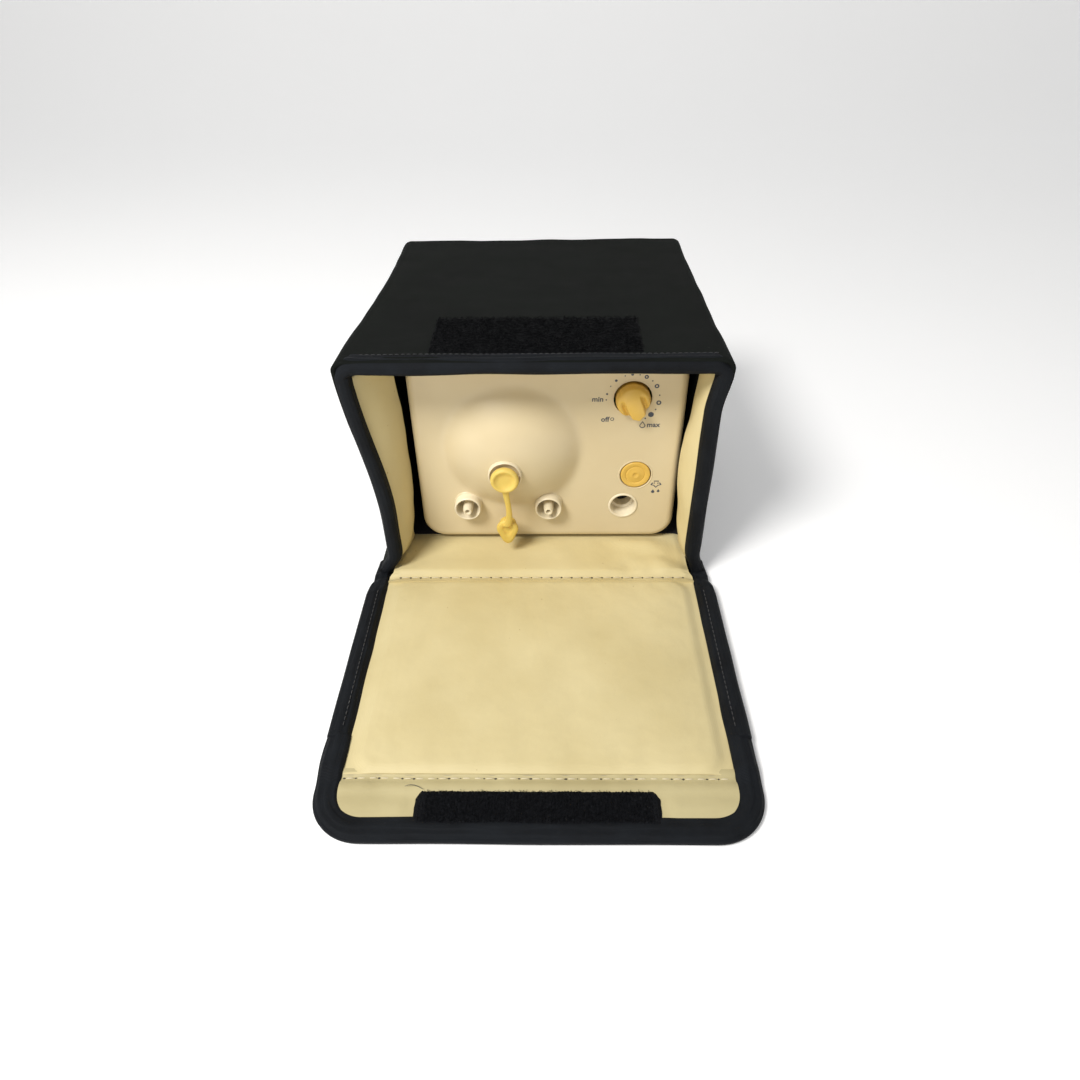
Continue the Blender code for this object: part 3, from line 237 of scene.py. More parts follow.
def turned(name, profile, place, material, sides=96, sharp=40):
    """A solid turned about an axis along -Y. The profile is (radius, how far in front), in mm."""
    points = []
    closed = profile[0] == profile[-1]
    rings = profile[:-1] if closed else profile
    for radius, front in rings:
        for x, z in disc_loop(place[0], place[2], radius * MM, sides):
            points.append((x, place[1] - front * MM, z))
    faces = grid_faces(len(rings), sides, closed=True)
    if closed:
        last = (len(rings) - 1) * sides
        for side in range(sides):
            after = (side + 1) % sides
            faces.append((last + side, last + after, after, side))
    obj = make_piece(name, points, faces, material, sharp)
    clean(obj.data, merge=1e-6)
    return obj


def rounded(corners, radius, steps):
    """A profile with its corners rounded by that radius, or less where a side is short."""
    corners = [np.array(corner, float) for corner in corners]
    result = [corners[0]]
    for before, corner, after in zip(corners, corners[1:], corners[2:]):
        back, on = before - corner, after - corner
        reach = min(radius, np.linalg.norm(back) * 0.48, np.linalg.norm(on) * 0.48)
        start = corner + back / np.linalg.norm(back) * reach
        end = corner + on / np.linalg.norm(on) * reach
        for step in range(steps + 1):
            t = step / steps
            result.append((1 - t) ** 2 * start + 2 * t * (1 - t) * corner + t * t * end)
    result.append(corners[-1])
    return [tuple(point) for point in result]


def disc_loop(x, z, radius, sides=20):
    angles = [TAU * side / sides for side in range(sides)]
    return [(x + radius * math.cos(angle), z + radius * math.sin(angle)) for angle in angles]


def apply_modifiers(obj):
    graph = bpy.context.evaluated_depsgraph_get()
    mesh = bpy.data.meshes.new_from_object(obj.evaluated_get(graph))
    obj.modifiers.clear()
    obj.data = mesh
    return obj


def thicken(obj, thickness, offset):
    wall = obj.modifiers.new("Wall", "SOLIDIFY")
    wall.thickness = thickness
    wall.offset = offset
    return apply_modifiers(obj)


def subdivide(obj, levels=1):
    subsurf = obj.modifiers.new("Subdivision", "SUBSURF")
    subsurf.levels = subsurf.render_levels = levels
    return apply_modifiers(obj)


def cut(obj, cutters, sharp):
    for cutter in cutters:
        boolean = obj.modifiers.new("Cut", "BOOLEAN")
        boolean.object = cutter
        boolean.solver = "EXACT"
    apply_modifiers(obj)
    for cutter in cutters:
        bpy.data.objects.remove(cutter)
    obj.data.set_sharp_from_angle(angle=math.radians(sharp))
    return obj


def join(name, objects):
    """One object from several closed shells."""
    shape = bmesh.new()
    for obj in objects:
        shape.from_mesh(obj.data)
    mesh = bpy.data.meshes.new(name)
    shape.to_mesh(mesh)
    shape.free()
    for material in objects[0].data.materials:
        mesh.materials.append(material)
    for obj in objects:
        bpy.data.objects.remove(obj)
    return link(bpy.data.objects.new(name, mesh))


def fuse(obj, voxel, smoothing):
    """Melts overlapping shells into one smooth moulding."""
    remesh = obj.modifiers.new("Remesh", "REMESH")
    remesh.mode = "VOXEL"
    remesh.voxel_size = voxel
    smooth = obj.modifiers.new("Smooth", "SMOOTH")
    smooth.factor = 0.5
    smooth.iterations = smoothing
    material = obj.data.materials[0]
    apply_modifiers(obj)
    obj.data.materials.clear()
    obj.data.materials.append(material)
    obj.data.shade_smooth()
    return obj


def settle(obj, pinned, pressure, growth, cap, frames=20):
    """Lets cloth relax with its pinned points held, and caps how far any point may move."""
    group = obj.vertex_groups.new(name="held")
    weights = np.asarray(pinned, float)
    for index in np.nonzero(weights > 0)[0]:
        group.add([int(index)], float(weights[index]), "REPLACE")
    rest = np.array([vertex.co for vertex in obj.data.vertices])
    cloth = obj.modifiers.new("Cloth", "CLOTH")
    cloth.settings.quality = 6
    cloth.settings.mass = 0.2
    cloth.settings.tension_stiffness = 20
    cloth.settings.compression_stiffness = 20
    cloth.settings.bending_stiffness = 8
    cloth.settings.effector_weights.gravity = 0
    cloth.settings.use_pressure = True
    cloth.settings.uniform_pressure_force = pressure
    cloth.settings.shrink_min = -growth
    cloth.settings.vertex_group_mass = "held"
    cloth.collision_settings.use_collision = False
    for number in range(1, frames + 1):
        bpy.context.scene.frame_set(number)
    graph = bpy.context.evaluated_depsgraph_get()
    settled = obj.evaluated_get(graph).to_mesh()
    moved = np.array([vertex.co for vertex in settled.vertices]) - rest
    obj.evaluated_get(graph).to_mesh_clear()
    length = np.linalg.norm(moved, axis=1, keepdims=True)
    moved *= np.minimum(1, cap / np.maximum(length, 1e-9))
    moved[~np.isfinite(moved).all(axis=1)] = 0
    obj.modifiers.clear()
    obj.vertex_groups.clear()
    obj.data.vertices.foreach_set("co", (rest + moved).astype(np.float32).ravel())
    obj.data.update()
    bpy.context.scene.frame_set(1)
    return obj


# --- Materials -------------------------------------------------------------------------------


class Surface:
    """A Principled material, with short ways to add pattern nodes."""

    def __init__(self, name, colour, roughness, **constants):
        self.material = bpy.data.materials.new(name)
        self.material.use_nodes = True
        self.tree = self.material.node_tree
        self.shader = self.tree.nodes["Principled BSDF"]
        self.shader.inputs["Base Color"].default_value = (*colour, 1)
        self.shader.inputs["Roughness"].default_value = roughness
        for socket, value in constants.items():
            self.shader.inputs[socket.replace("_", " ")].default_value = value
        self.place = self.add("ShaderNodeTexCoord").outputs["Object"]
        self.height = None

    def add(self, kind, sockets=None, **settings):
        node = self.tree.nodes.new(kind)
        for name, value in settings.items():
            setattr(node, name, value)
        for name, value in (sockets or {}).items():
            if isinstance(value, bpy.types.NodeSocket):
                self.tree.links.new(value, node.inputs[name])
            else:
                node.inputs[name].default_value = value
        return node

    def noise(self, size, detail=2.0, stretch=None):
        place = self.place
        if stretch:
            stretched = self.add("ShaderNodeVectorMath", {0: place, 1: stretch}, operation="MULTIPLY")
            place = stretched.outputs[0]
        sockets = {"Vector": place, "Scale": 1 / size, "Detail": detail}
        return self.add("ShaderNodeTexNoise", sockets).outputs["Fac"]

    def spread(self, value, low, high, new_low=0.0, new_high=1.0):
        sockets = {
            "Value": value,
            "From Min": low,
            "From Max": high,
            "To Min": new_low,
            "To Max": new_high,
        }
        return self.add("ShaderNodeMapRange", sockets).outputs["Result"]

    def math(self, operation, first, second=0.0):
        return self.add("ShaderNodeMath", {0: first, 1: second}, operation=operation).outputs[0]

    def mix(self, factor, first, second):
        node = self.add("ShaderNodeMix", data_type="RGBA")
        node.inputs[0].default_value = 0.5
        for index, value in ((0, factor), (6, first), (7, second)):
            if isinstance(value, bpy.types.NodeSocket):
                self.tree.links.new(value, node.inputs[index])
            else:
                node.inputs[index].default_value = value if index == 0 else (*value, 1)
        return node.outputs[2]

    def wave(self, axis, pitch):
        """From 0 to 1 and back once each pitch along X, Y or Z."""
        sockets = {"Vector": self.place, "Scale": TAU / (20 * pitch)}
        settings = {"wave_type": "BANDS", "bands_direction": axis, "wave_profile": "SIN"}
        return self.add("ShaderNodeTexWave", sockets, **settings).outputs["Fac"]

    def weave(self, pitch):
        """Threads over and under each other, whichever way the cloth faces."""
        x, y, z = (self.wave(axis, pitch) for axis in "XYZ")
        pairs = [self.math("MULTIPLY", a, b) for a, b in ((x, y), (y, z), (x, z))]
        return self.math("ADD", self.math("ADD", pairs[0], pairs[1]), pairs[2])

    def bump(self, height, distance, strength=1.0):
        sockets = {"Height": height, "Distance": distance, "Strength": strength}
        if self.height is not None:
            sockets["Normal"] = self.height
        self.height = self.add("ShaderNodeBump", sockets).outputs["Normal"]
        self.tree.links.new(self.height, self.shader.inputs["Normal"])

    def colour(self, socket):
        self.tree.links.new(socket, self.shader.inputs["Base Color"])

    def roughness(self, socket):
        self.tree.links.new(socket, self.shader.inputs["Roughness"])


def outer_cloth():
    """Black laminated cloth: a fine weave, faint mottling and a few pale specks of lint."""
    cloth = Surface("outer_cloth", (0.007, 0.008, 0.007), 0.85, Specular_IOR_Level=0.1)
    mottle = cloth.noise(0.03, 5)
    dark, pale = (0.0032, 0.0042, 0.0034), (0.0075, 0.0090, 0.0078)
    tone = cloth.mix(cloth.spread(mottle, 0.3, 0.7), dark, pale)
    lint = cloth.spread(cloth.noise(0.0016, 1), 0.80, 0.84)
    cloth.colour(cloth.mix(lint, tone, (0.035, 0.035, 0.032)))
    cloth.roughness(cloth.spread(mottle, 0.3, 0.7, 0.75, 0.9))
    cloth.bump(mottle, 0.0012, 0.5)
    cloth.bump(cloth.weave(0.0005), 0.00006, 0.7)
    return cloth.material


def binding_cloth():
    """Blue-black bias tape with a twill, lengthwise puckers and a soft sheen on its rubbed ridges."""
    cloth = Surface("binding_cloth", (0.008, 0.010, 0.013), 0.7, Specular_IOR_Level=0.16)
    rub = cloth.noise(0.012, 4)
    dull, bright = (0.0034, 0.0044, 0.0062), (0.0095, 0.0115, 0.0145)
    cloth.colour(cloth.mix(cloth.spread(rub, 0.35, 0.75), dull, bright))
    cloth.roughness(cloth.spread(rub, 0.3, 0.7, 0.62, 0.82))
    cloth.bump(cloth.noise(0.005, 3), 0.0008, 0.5)
    cloth.bump(cloth.weave(0.00042), 0.00006, 0.8)
    return cloth.material


def lining_cloth(name, low, high):
    """Smooth coated cream cloth: a hardly visible grain, soft creases and slight soiling."""
    cloth = Surface(name, high, 0.5, Specular_IOR_Level=0.3)
    soil = cloth.noise(0.045, 5)
    clean = cloth.mix(cloth.spread(soil, 0.35, 0.7), low, high)
    fleck = cloth.spread(cloth.noise(0.0028, 1), 0.79, 0.83)
    cloth.colour(cloth.mix(fleck, clean, (0.52, 0.41, 0.21)))
    cloth.roughness(cloth.spread(soil, 0.3, 0.7, 0.42, 0.58))
    cloth.bump(cloth.noise(0.02, 3), 0.0015, 0.35)
    cloth.bump(cloth.weave(0.00036), 0.00003, 0.5)
    return cloth.material


def painted_shade_lining_cloth():
    """The case's unseen depth: matt black knit, as painted shade for the dark that falls there."""
    cloth = Surface("painted_shade_lining_cloth", (0.006, 0.006, 0.007), 0.95)
    cloth.colour(cloth.mix(cloth.noise(0.01, 4), (0.004, 0.004, 0.005), (0.009, 0.009, 0.011)))
    cloth.bump(cloth.weave(0.0009), 0.0001, 0.8)
    return cloth.material


def tape_cloth(name, tone, clump):
    """Black hook or loop tape, with painted glints on its fibres: lighter specks in its colour."""
    cloth = Surface(name, tone, 0.7, Specular_IOR_Level=0.08)
    painted_glint = cloth.spread(cloth.noise(0.0007, 2), 0.62, 0.78)
    cloth.colour(cloth.mix(painted_glint, tone, (0.018, 0.020, 0.024)))
    cloth.bump(cloth.noise(clump, 3), 0.0012, 1.0)
    cloth.bump(cloth.noise(0.0004, 2), 0.0003, 1.0)
    return cloth.material


def moulding(name, low, high, roughness, grain=0.0006, depth=0.00002, **constants):
    """A moulded plastic: two close tones in soft clouds, a fine spark-eroded grain, and light scuffs."""
    plastic = Surface(name, high, roughness, **constants)
    cloud = plastic.noise(0.04, 4)
    plastic.colour(plastic.mix(plastic.spread(cloud, 0.35, 0.65), low, high))
    scuff = plastic.noise(0.008, 6, stretch=(1.0, 1.0, 3.0))
    plastic.roughness(plastic.spread(scuff, 0.3, 0.75, roughness - 0.05, roughness + 0.1))
    plastic.bump(plastic.noise(grain, 2), depth, 0.6)
    return plastic.material


def metal(name, tone, roughness, stretch):
    """Drawn or turned metal, with fine lines along one way."""
    surface = Surface(name, tone, roughness, Metallic=1.0)
    lines = surface.noise(0.001, 3, stretch=stretch)
    dark = tuple(0.7 * value for value in tone)
    surface.colour(surface.mix(surface.spread(lines, 0.3, 0.7), dark, tone))
    surface.roughness(surface.spread(lines, 0.3, 0.7, roughness - 0.08, roughness + 0.12))
    surface.bump(lines, 0.00002, 0.5)
    return surface.material


def pressed_board():
    board = Surface("pressed_board", (0.35, 0.30, 0.22), 0.9)
    fibre = board.noise(0.002, 5, stretch=(1.0, 0.25, 1.0))
    board.colour(board.mix(fibre, (0.27, 0.23, 0.16), (0.42, 0.37, 0.28)))
    board.bump(fibre, 0.0001, 0.6)
    return board.material


def solder_mask():
    board = Surface("solder_mask", (0.03, 0.2, 0.07), 0.4)
    tracks = board.math("GREATER_THAN", board.wave("X", 0.0025), 0.82)
    board.colour(board.mix(tracks, (0.02, 0.15, 0.05), (0.05, 0.27, 0.10)))
    board.bump(tracks, 0.00003, 0.5)
    return board.material


def printed_ink():
    ink = Surface("printed_ink", (0.06, 0.07, 0.09), 0.5)
    ink.colour(ink.mix(ink.noise(0.0006, 2), (0.045, 0.055, 0.075), (0.085, 0.095, 0.12)))
    return ink.material


def sewing_thread(name, tone):
    thread = Surface(name, tone, 0.6, Sheen_Weight=0.2)
    twist = thread.noise(0.0004, 2)
    dark = tuple(0.6 * value for value in tone)
    thread.colour(thread.mix(twist, dark, tone))
    thread.bump(twist, 0.0001, 0.8)
    return thread.material


OUTER = outer_cloth()
BINDING = binding_cloth()
LINING = lining_cloth("lining_cloth", (0.625, 0.525, 0.275), (0.70, 0.60, 0.335))
# Painted shade: a darker copy of the lining for the tail, for the shadow on the flap's far end.
SHADED_TAIL_LINING = lining_cloth("painted_shade_tail_lining_cloth", (0.47, 0.40, 0.21), (0.56, 0.485, 0.265))
# Painted shade: black cloth for the case's deep inside, which lies in shadow.
PAINTED_SHADE_LINING = painted_shade_lining_cloth()
LOOP_PILE = tape_cloth("loop_pile", (0.0015, 0.0018, 0.0024), 0.0022)
HOOK_TAPE = tape_cloth("hook_tape", (0.0055, 0.006, 0.0075), 0.0012)
CREAM = moulding("cream_plastic", (0.66, 0.545, 0.335), (0.69, 0.58, 0.37), 0.36)
PALE = moulding("pale_plastic", (0.76, 0.66, 0.45), (0.82, 0.73, 0.54), 0.34)
YELLOW = moulding("yellow_plastic", (0.68, 0.42, 0.07), (0.74, 0.48, 0.10), 0.36)
YELLOW_RUBBER = moulding(
    "yellow_silicone", (0.72, 0.50, 0.10), (0.80, 0.58, 0.15), 0.5, Subsurface_Weight=0.08
)
BLACK_PLASTIC = moulding("black_plastic", (0.012, 0.012, 0.012), (0.022, 0.022, 0.022), 0.45)
RUBBER = moulding("rubber", (0.03, 0.03, 0.03), (0.05, 0.05, 0.05), 0.8)
SILICONE = moulding("silicone", (0.68, 0.68, 0.64), (0.76, 0.76, 0.72), 0.45)
ACETAL = moulding("acetal", (0.80, 0.80, 0.76), (0.86, 0.86, 0.83), 0.35)
STEEL = metal("steel", (0.60, 0.60, 0.62), 0.32, (1.0, 1.0, 0.05))
BRASS = metal("brass", (0.75, 0.55, 0.25), 0.3, (0.05, 1.0, 1.0))
BOARD = pressed_board()
CIRCUIT = solder_mask()
INK = printed_ink()
CREAM_THREAD = sewing_thread("cream_thread", (0.80, 0.70, 0.46))
BLACK_THREAD = sewing_thread("black_thread", (0.03, 0.032, 0.036))
# Painted shade: the dark of the needle holes, given to small pebbles along each seam.
NEEDLE_HOLE_SHADE = sewing_thread("needle_hole_shade", (0.06, 0.045, 0.025))

FINISHES = {
    "outer_fabric": OUTER,
    "binding_tape": BINDING,
    "lining_fabric": LINING,
    "hook_and_loop": LOOP_PILE,
    "stiffener_board": BOARD,
    "cream_plastic": CREAM,
    "pale_plastic": PALE,
    "yellow_plastic": YELLOW,
    "yellow_silicone": YELLOW_RUBBER,
    "black_plastic": BLACK_PLASTIC,
    "rubber": RUBBER,
    "silicone": SILICONE,
    "steel": STEEL,
    "brass": BRASS,
    "circuit_board": CIRCUIT,
    "acetal": ACETAL,
}
SLOTS = {material: slot for slot, material in FINISHES.items()}
SLOTS.update({SHADED_TAIL_LINING: "lining_fabric", PAINTED_SHADE_LINING: "outer_fabric", HOOK_TAPE: "hook_and_loop"})


def take_place(obj, nodes):
    """The piece stands for those nodes, which are hidden."""
    if nodes:
        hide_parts(*nodes)
    return obj


def settle_in(obj, body, *nodes):
    """The piece rides on its body, and stands for those nodes."""
    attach(obj, body)
    return take_place(obj, nodes)


def bend_over(obj, body_a, body_b, start_y, end_y, *nodes):
    """The piece's place is baked into its mesh, and it stands for those nodes."""
    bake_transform(obj)
    return take_place(obj, nodes)


# --- Padded case -----------------------------------------------------------------------------


def side_shift(side, z):
    """How far the mouth's soft side stands outside the CAD's straight one, at each height."""
    z = np.asarray(z, float)
    top = smoothstep(z, 40 * MM, CASE_TOP)
    foot = smoothstep(z, 16 * MM, 3 * MM)
    if side < 0:
        return (-6.2 + 12.6 * top) * MM + 7.5 * MM * foot
    belly = smoothstep(z, 104 * MM, 128 * MM)
    return (-2.8 + 3.6 * belly) * MM + 4.5 * MM * foot


def lean(x, y, z):
    """The soft case's sides: shifted at the mouth, and straight from halfway back."""
    share = smoothstep(y, 25 * MM, MOUTH_Y)
    reach = np.clip(np.abs(x) / HALF_WIDTH, 0, 1) ** 3
    side = np.where(x < 0, side_shift(-1, z), side_shift(1, z))
    return x + np.sign(x) * side * share * reach


def case_ring(half_width, low, high, radius, count_side=26, count_corner=7):
    """Points (x, z) round the case's section, anticlockwise from the middle of the underside."""
    points = []
    corners = [(1, low), (1, high), (-1, high), (-1, low)]
    for number, (side, edge) in enumerate(corners):
        centre_x = side * (half_width - radius)
        centre_z = edge + radius if edge == low else edge - radius
        for step in range(count_corner + 1):
            angle = (number - 1 + step / count_corner) * math.pi / 2
            x = centre_x + radius * math.cos(angle)
            points.append((x, centre_z + radius * math.sin(angle)))
    ring = []
    for a, b in zip(points, points[1:] + points[:1]):
        far = math.dist(a, b) > 4 * radius * math.pi / 2 / count_corner
        steps = count_side if far else 1
        for step in range(steps):
            t = step / steps
            ring.append((a[0] + (b[0] - a[0]) * t, a[1] + (b[1] - a[1]) * t))
    return np.array(ring)


def leaning_section(ring, y):
    """A section of the case at that depth, as points that follow its leaning sides."""
    depth = np.full(len(ring), y)
    return np.column_stack([lean(ring[:, 0], depth, ring[:, 1]), depth, ring[:, 1]])


def tub_faces(rows, columns):
    """The skin of a tube whose last ring is closed."""
    return tube_faces(rows, columns)[:-2] + tube_faces(rows, columns)[-1:]


def make_outer_shell():
    """The case's black skin: bottom, sides, top and back in one, softened and a little uneven."""
    edge = 4.5 * MM
    rings = [(y, 0.0) for y in np.linspace(MOUTH_Y + 1.5 * MM, BACK_Y - edge, 44)]
    for step in range(1, 6):
        angle = math.pi / 2 * step / 5
        rings.append((BACK_Y - edge + edge * math.sin(angle), edge * (1 - math.cos(angle))))
    rings += [(BACK_Y, inset * MM) for inset in (12, 24, 36, 48, 58)]
    sections = []
    for y, inset in rings:
        taper = 2.0 * MM * smoothstep(y, MOUTH_Y, BACK_Y)
        radius = min(4.8 * MM, CASE_TOP / 2 - inset - 1 * MM)
        ring = case_ring(HALF_WIDTH - taper - inset, inset, CASE_TOP + TOP_PUFF - inset, radius)
        sections.append(leaning_section(ring, y))
    flat = np.array(sections).reshape(-1, 3)
    lumps = ripple(flat, 0.045, 3.1) + 0.5 * ripple(flat, 0.017, 8.2)
    away = np.clip(flat[:, 2] / (14 * MM), 0, 1)
    middle_z = CASE_TOP / 2
    backward = smoothstep(flat[:, 1], BACK_Y - 8 * MM, BACK_Y)
    outward = np.column_stack([flat[:, 0] / HALF_WIDTH, backward, (flat[:, 2] - middle_z) / middle_z])
    flat = flat + outward * (0.55 * MM * lumps * away)[:, None]
    sag = smoothstep(flat[:, 2], CASE_TOP - 3 * MM, CASE_TOP)
    sag = sag * np.clip(1 - (flat[:, 0] / HALF_WIDTH) ** 2, 0, 1)
    flat[:, 2] -= 0.9 * MM * sag * np.clip(1 - (flat[:, 1] / BACK_Y) ** 2, 0, 1)
    shell = make_piece("outer_shell", flat, tub_faces(len(rings), len(sections[0])), OUTER, 60)
    thicken(shell, 2.2 * MM, -1)
    names = ("bottom", "top", "left", "right", "back")
    settle_in(shell, "case", *("outer_" + name for name in names))


def rim_path():
    """Places and outward directions along the mouth: up the left side, over the top, down the right."""
    radius = 5.5 * MM
    half = (RIM_HIGH[0] + 81.5 * MM) / 2
    low = 3 * MM
    up_steps, corner_steps, top_steps = 46, 8, 60
    side = []
    for step in range(up_steps):
        side.append((-half, low + (RIM_TOP_Z - radius - low) * step / up_steps, -1, 0))
    for step in range(corner_steps + 1):
        angle = math.pi / 2 * step / corner_steps
        x = -half + radius * (1 - math.cos(angle))
        z = RIM_TOP_Z - radius * (1 - math.sin(angle))
        side.append((x, z, -math.cos(angle), math.sin(angle)))
    top = []
    for step in range(1, top_steps):
        top.append((-half + radius + (2 * half - 2 * radius) * step / top_steps, RIM_TOP_Z, 0, 1))
    other = [(-x, z, -out_x, out_z) for x, z, out_x, out_z in reversed(side)]
    path = np.array(side + top + other)
    return path[:, :2], path[:, 2:]


def make_rim():
    """Bias binding folded round the mouth's raw edge. Its back lip is stitched down on the outside."""
    # (outward from the wall's middle, back from the mouth): inside lip, round the front, outside lip
    section = [(-4.2, 9.0), (-4.9, 6.5), (-5.0, 3.6), (-4.4, 1.4), (-2.9, 0.3), (-0.8, 0.0)]
    section += [(1.6, 0.3), (3.5, 1.3), (4.6, 3.0), (4.9, 5.2), (4.7, 7.6), (4.4, 9.6)]
    section += [(3.3, 9.8), (2.6, 8.0), (0.0, 7.6), (-3.2, 8.6)]
    profile = rounded([*section, section[0]], 1.0, 2)[:-1]
    sections = []
    travelled = 0.0
    places, outward = rim_path()
    before = places[0]
    for place, out in zip(places, outward):
        travelled += math.dist(place, before)
        before = place
        x = float(lean(place[0], MOUTH_Y, place[1]))
        top = abs(out[1])
        corner = math.exp(-(((abs(x) - HALF_WIDTH) / (9 * MM)) ** 2))
        corner = corner * smoothstep(place[1], 112 * MM, 126 * MM)
        pinch = smoothstep(place[1], 22 * MM, 4 * MM)
        ring = []
        for index, (a, b) in enumerate(profile):
            wobble = noise.noise(Vector((travelled / 0.028, index * 0.16, 1.7)))
            drift = noise.noise(Vector((travelled / 0.06, 4.0, 0.0)))
            rib = 0.14 * math.sin(index * 1.35 + 1.5 * drift)
            pleat = corner * math.sin(travelled / (1.1 * MM) + 0.9 * index) * 0.35
            a = a * (0.86 - 0.14 * pinch - 0.08 * top) + 0.45 * wobble + rib + pleat
            b = b * (1 - 0.25 * pinch) + 0.35 * wobble
            y = MOUTH_Y + max(b, 0.0) * MM
            x = float(lean(place[0], y, place[1]))
            ring.append((x + out[0] * a * MM, y, place[1] + out[1] * a * MM))
        sections.append(ring)
    rim = loft("rim_binding_tape", sections, BINDING, 70)
    subdivide(rim)
    settle_in(rim, "case", "rim_binding")


def thread_run(name, points, material, width, pitch, gap, lift=0.0):
    """A row of separate stitches along points (n, 3), each a little low pod, as one piece."""
    rows, sides = 7, 6
    points = np.asarray(points, float)
    lengths = np.concatenate([[0], np.cumsum(np.linalg.norm(np.diff(points, axis=0), axis=1))])
    count = int(lengths[-1] / pitch)
    shape_points, faces = [], []
    for number in range(count):
        start = (number + gap / 2) * pitch
        end = (number + 1 - gap / 2) * pitch
        faces += tube_faces(rows, sides, len(shape_points))
        for row in range(rows):
            t = row / (rows - 1)
            along = start + (end - start) * t
            centre = np.array([np.interp(along, lengths, points[:, k]) for k in range(3)])
            ahead = np.array([np.interp(along + 0.3 * MM, lengths, points[:, k]) for k in range(3)])
            heading = ahead - centre
            heading /= max(np.linalg.norm(heading), 1e-9)
            across = np.cross(heading, (0.0, -0.35, 1.0))
            across /= np.linalg.norm(across)
            up = np.cross(across, heading)
            swell = math.sqrt(max(0.03, 1 - (2 * t - 1) ** 2))
            for side in range(sides):
                angle = TAU * side / sides
                offset = across * math.cos(angle) + up * math.sin(angle)
                arch = up * (0.5 * swell * width + lift - 0.35 * width)
                shape_points.append(centre + arch + offset * (0.5 * width * (0.35 + 0.65 * swell)))
    return make_piece(name, shape_points, faces, material, 80)


def make_rim_stitches():
    """The lock stitch near the binding's back lip, on top."""
    y = MOUTH_Y + 8.3 * MM
    z = RIM_TOP_Z + 3.7 * MM
    points = [(x, y, z + 0.12 * MM * math.sin(x * 90)) for x in np.linspace(-84 * MM, 84 * MM, 60)]
    thread = thread_run("rim_stitches", points, BLACK_THREAD, 0.4 * MM, 2.8 * MM, 0.3, 0.15 * MM)
    return settle_in(thread, "case")


def make_pile(name, low, high, seed, count, length, radius, material, droop):
    """Fibres of a hook or loop tape: small bent hairs of three sides, as one piece."""
    rng = random.Random(seed)
    rows, sides = 5, 3
    points, faces = [], []
    above = np.array([0, 0, 1])
    for _ in range(count):
        foot = np.array([rng.uniform(low[0], high[0]), rng.uniform(low[1], high[1]), high[2]])
        heading = rng.uniform(0, TAU)
        way = np.array([math.cos(heading), math.sin(heading), 0.0])
        side = np.array([-way[1], way[0], 0.0])
        tall = length * rng.uniform(0.5, 1.0)
        reach = droop * length * rng.uniform(0.4, 1.0)
        faces += tube_faces(rows, sides, len(points))
        for row in range(rows):
            angle = math.pi * row / (rows - 1)
            place = foot + way * reach * (1 - math.cos(angle)) / 2 + above * tall * math.sin(angle)
            place[2] -= 0.2 * MM if row in (0, rows - 1) else 0.0
            for corner in range(sides):
                turn = TAU * corner / sides
                points.append(place + radius * (side * math.cos(turn) + above * math.sin(turn)))
    return make_piece(name, points, faces, material, 80)


def make_tape(name, low, high, material, seed, rough, cut_corner):
    """A tape's base: a thin slab with ragged edges and a lumpy top."""
    columns, rows = 360, 34
    us = np.arange(columns) / (columns - 1)
    vs = np.arange(rows) / (rows - 1)
    top = flat_grid(low[0] + (high[0] - low[0]) * us, low[1] + (high[1] - low[1]) * vs, high[2])
    flat = top.reshape(-1, 3)
    border_x = np.minimum(flat[:, 0] - low[0], high[0] - flat[:, 0])
    border_y = np.minimum(flat[:, 1] - low[1], high[1] - flat[:, 1])
    border = np.minimum(border_x, border_y)
    lumps = ripple(flat, 0.0016, seed)
    ribs = np.sin(flat[:, 0] * TAU / (1.3 * MM)) * (0.6 + 0.4 * ripple(flat, 0.006, seed + 2))
    flat[:, 2] += 0.6 * rough * ribs * (cut_corner > 0)
    flat[:, 2] += rough * lumps - (high[2] - low[2]) * 0.55 * (1 - smoothstep(border, 0, 1.4 * MM))
    ragged = ripple(flat * (1, 1, 0), 0.004, seed + 5) * 0.35 * MM
    flat[:, 1] += ragged * (1 - smoothstep(border_y, 0, 2 * MM))
    flat[:, 0] += ragged * (1 - smoothstep(border_x, 0, 2 * MM))
    if cut_corner:
        depth = high[1] - flat[:, 1]
        inset = np.clip(cut_corner - depth, 0, None) * 0.55
        half = (high[0] - low[0]) / 2
        flat[:, 0] *= (half - inset) / half
    flat[:, 2] = np.maximum(flat[:, 2], low[2] + 0.3 * MM)
    points = flat.reshape(rows, columns, 3)
    floor = points.copy()
    floor[:, :, 2] = low[2]
    return slab(name, points, (floor - points).reshape(-1, 3), material, 70)


def make_loop_strip():
    """The loop tape sewn on the case's top."""
    low = LOOP_LOW - (2 * MM, 0, 0)
    high = LOOP_HIGH + (0, 0, 0.2 * MM) - (0, 0, 0.7 * MM)
    tape = make_tape("loop_tape", low, high, LOOP_PILE, 4.0, 0.25 * MM, 0)
    settle_in(tape, "case", "loop_strip")
    room = 0.8 * MM
    foot = high - (room, room, 0)
    pile = make_pile("loop_pile", low + room, foot, 7, 5200, 0.85 * MM, 0.07 * MM, LOOP_PILE, 1.9)
    settle_in(pile, "case")


# --- Lining of the case ----------------------------------------------------------------------


def spans(*runs):
    """Places along an axis, from runs of (start, end, count) in mm."""
    return np.concatenate([np.linspace(*run) for run in runs]) * MM


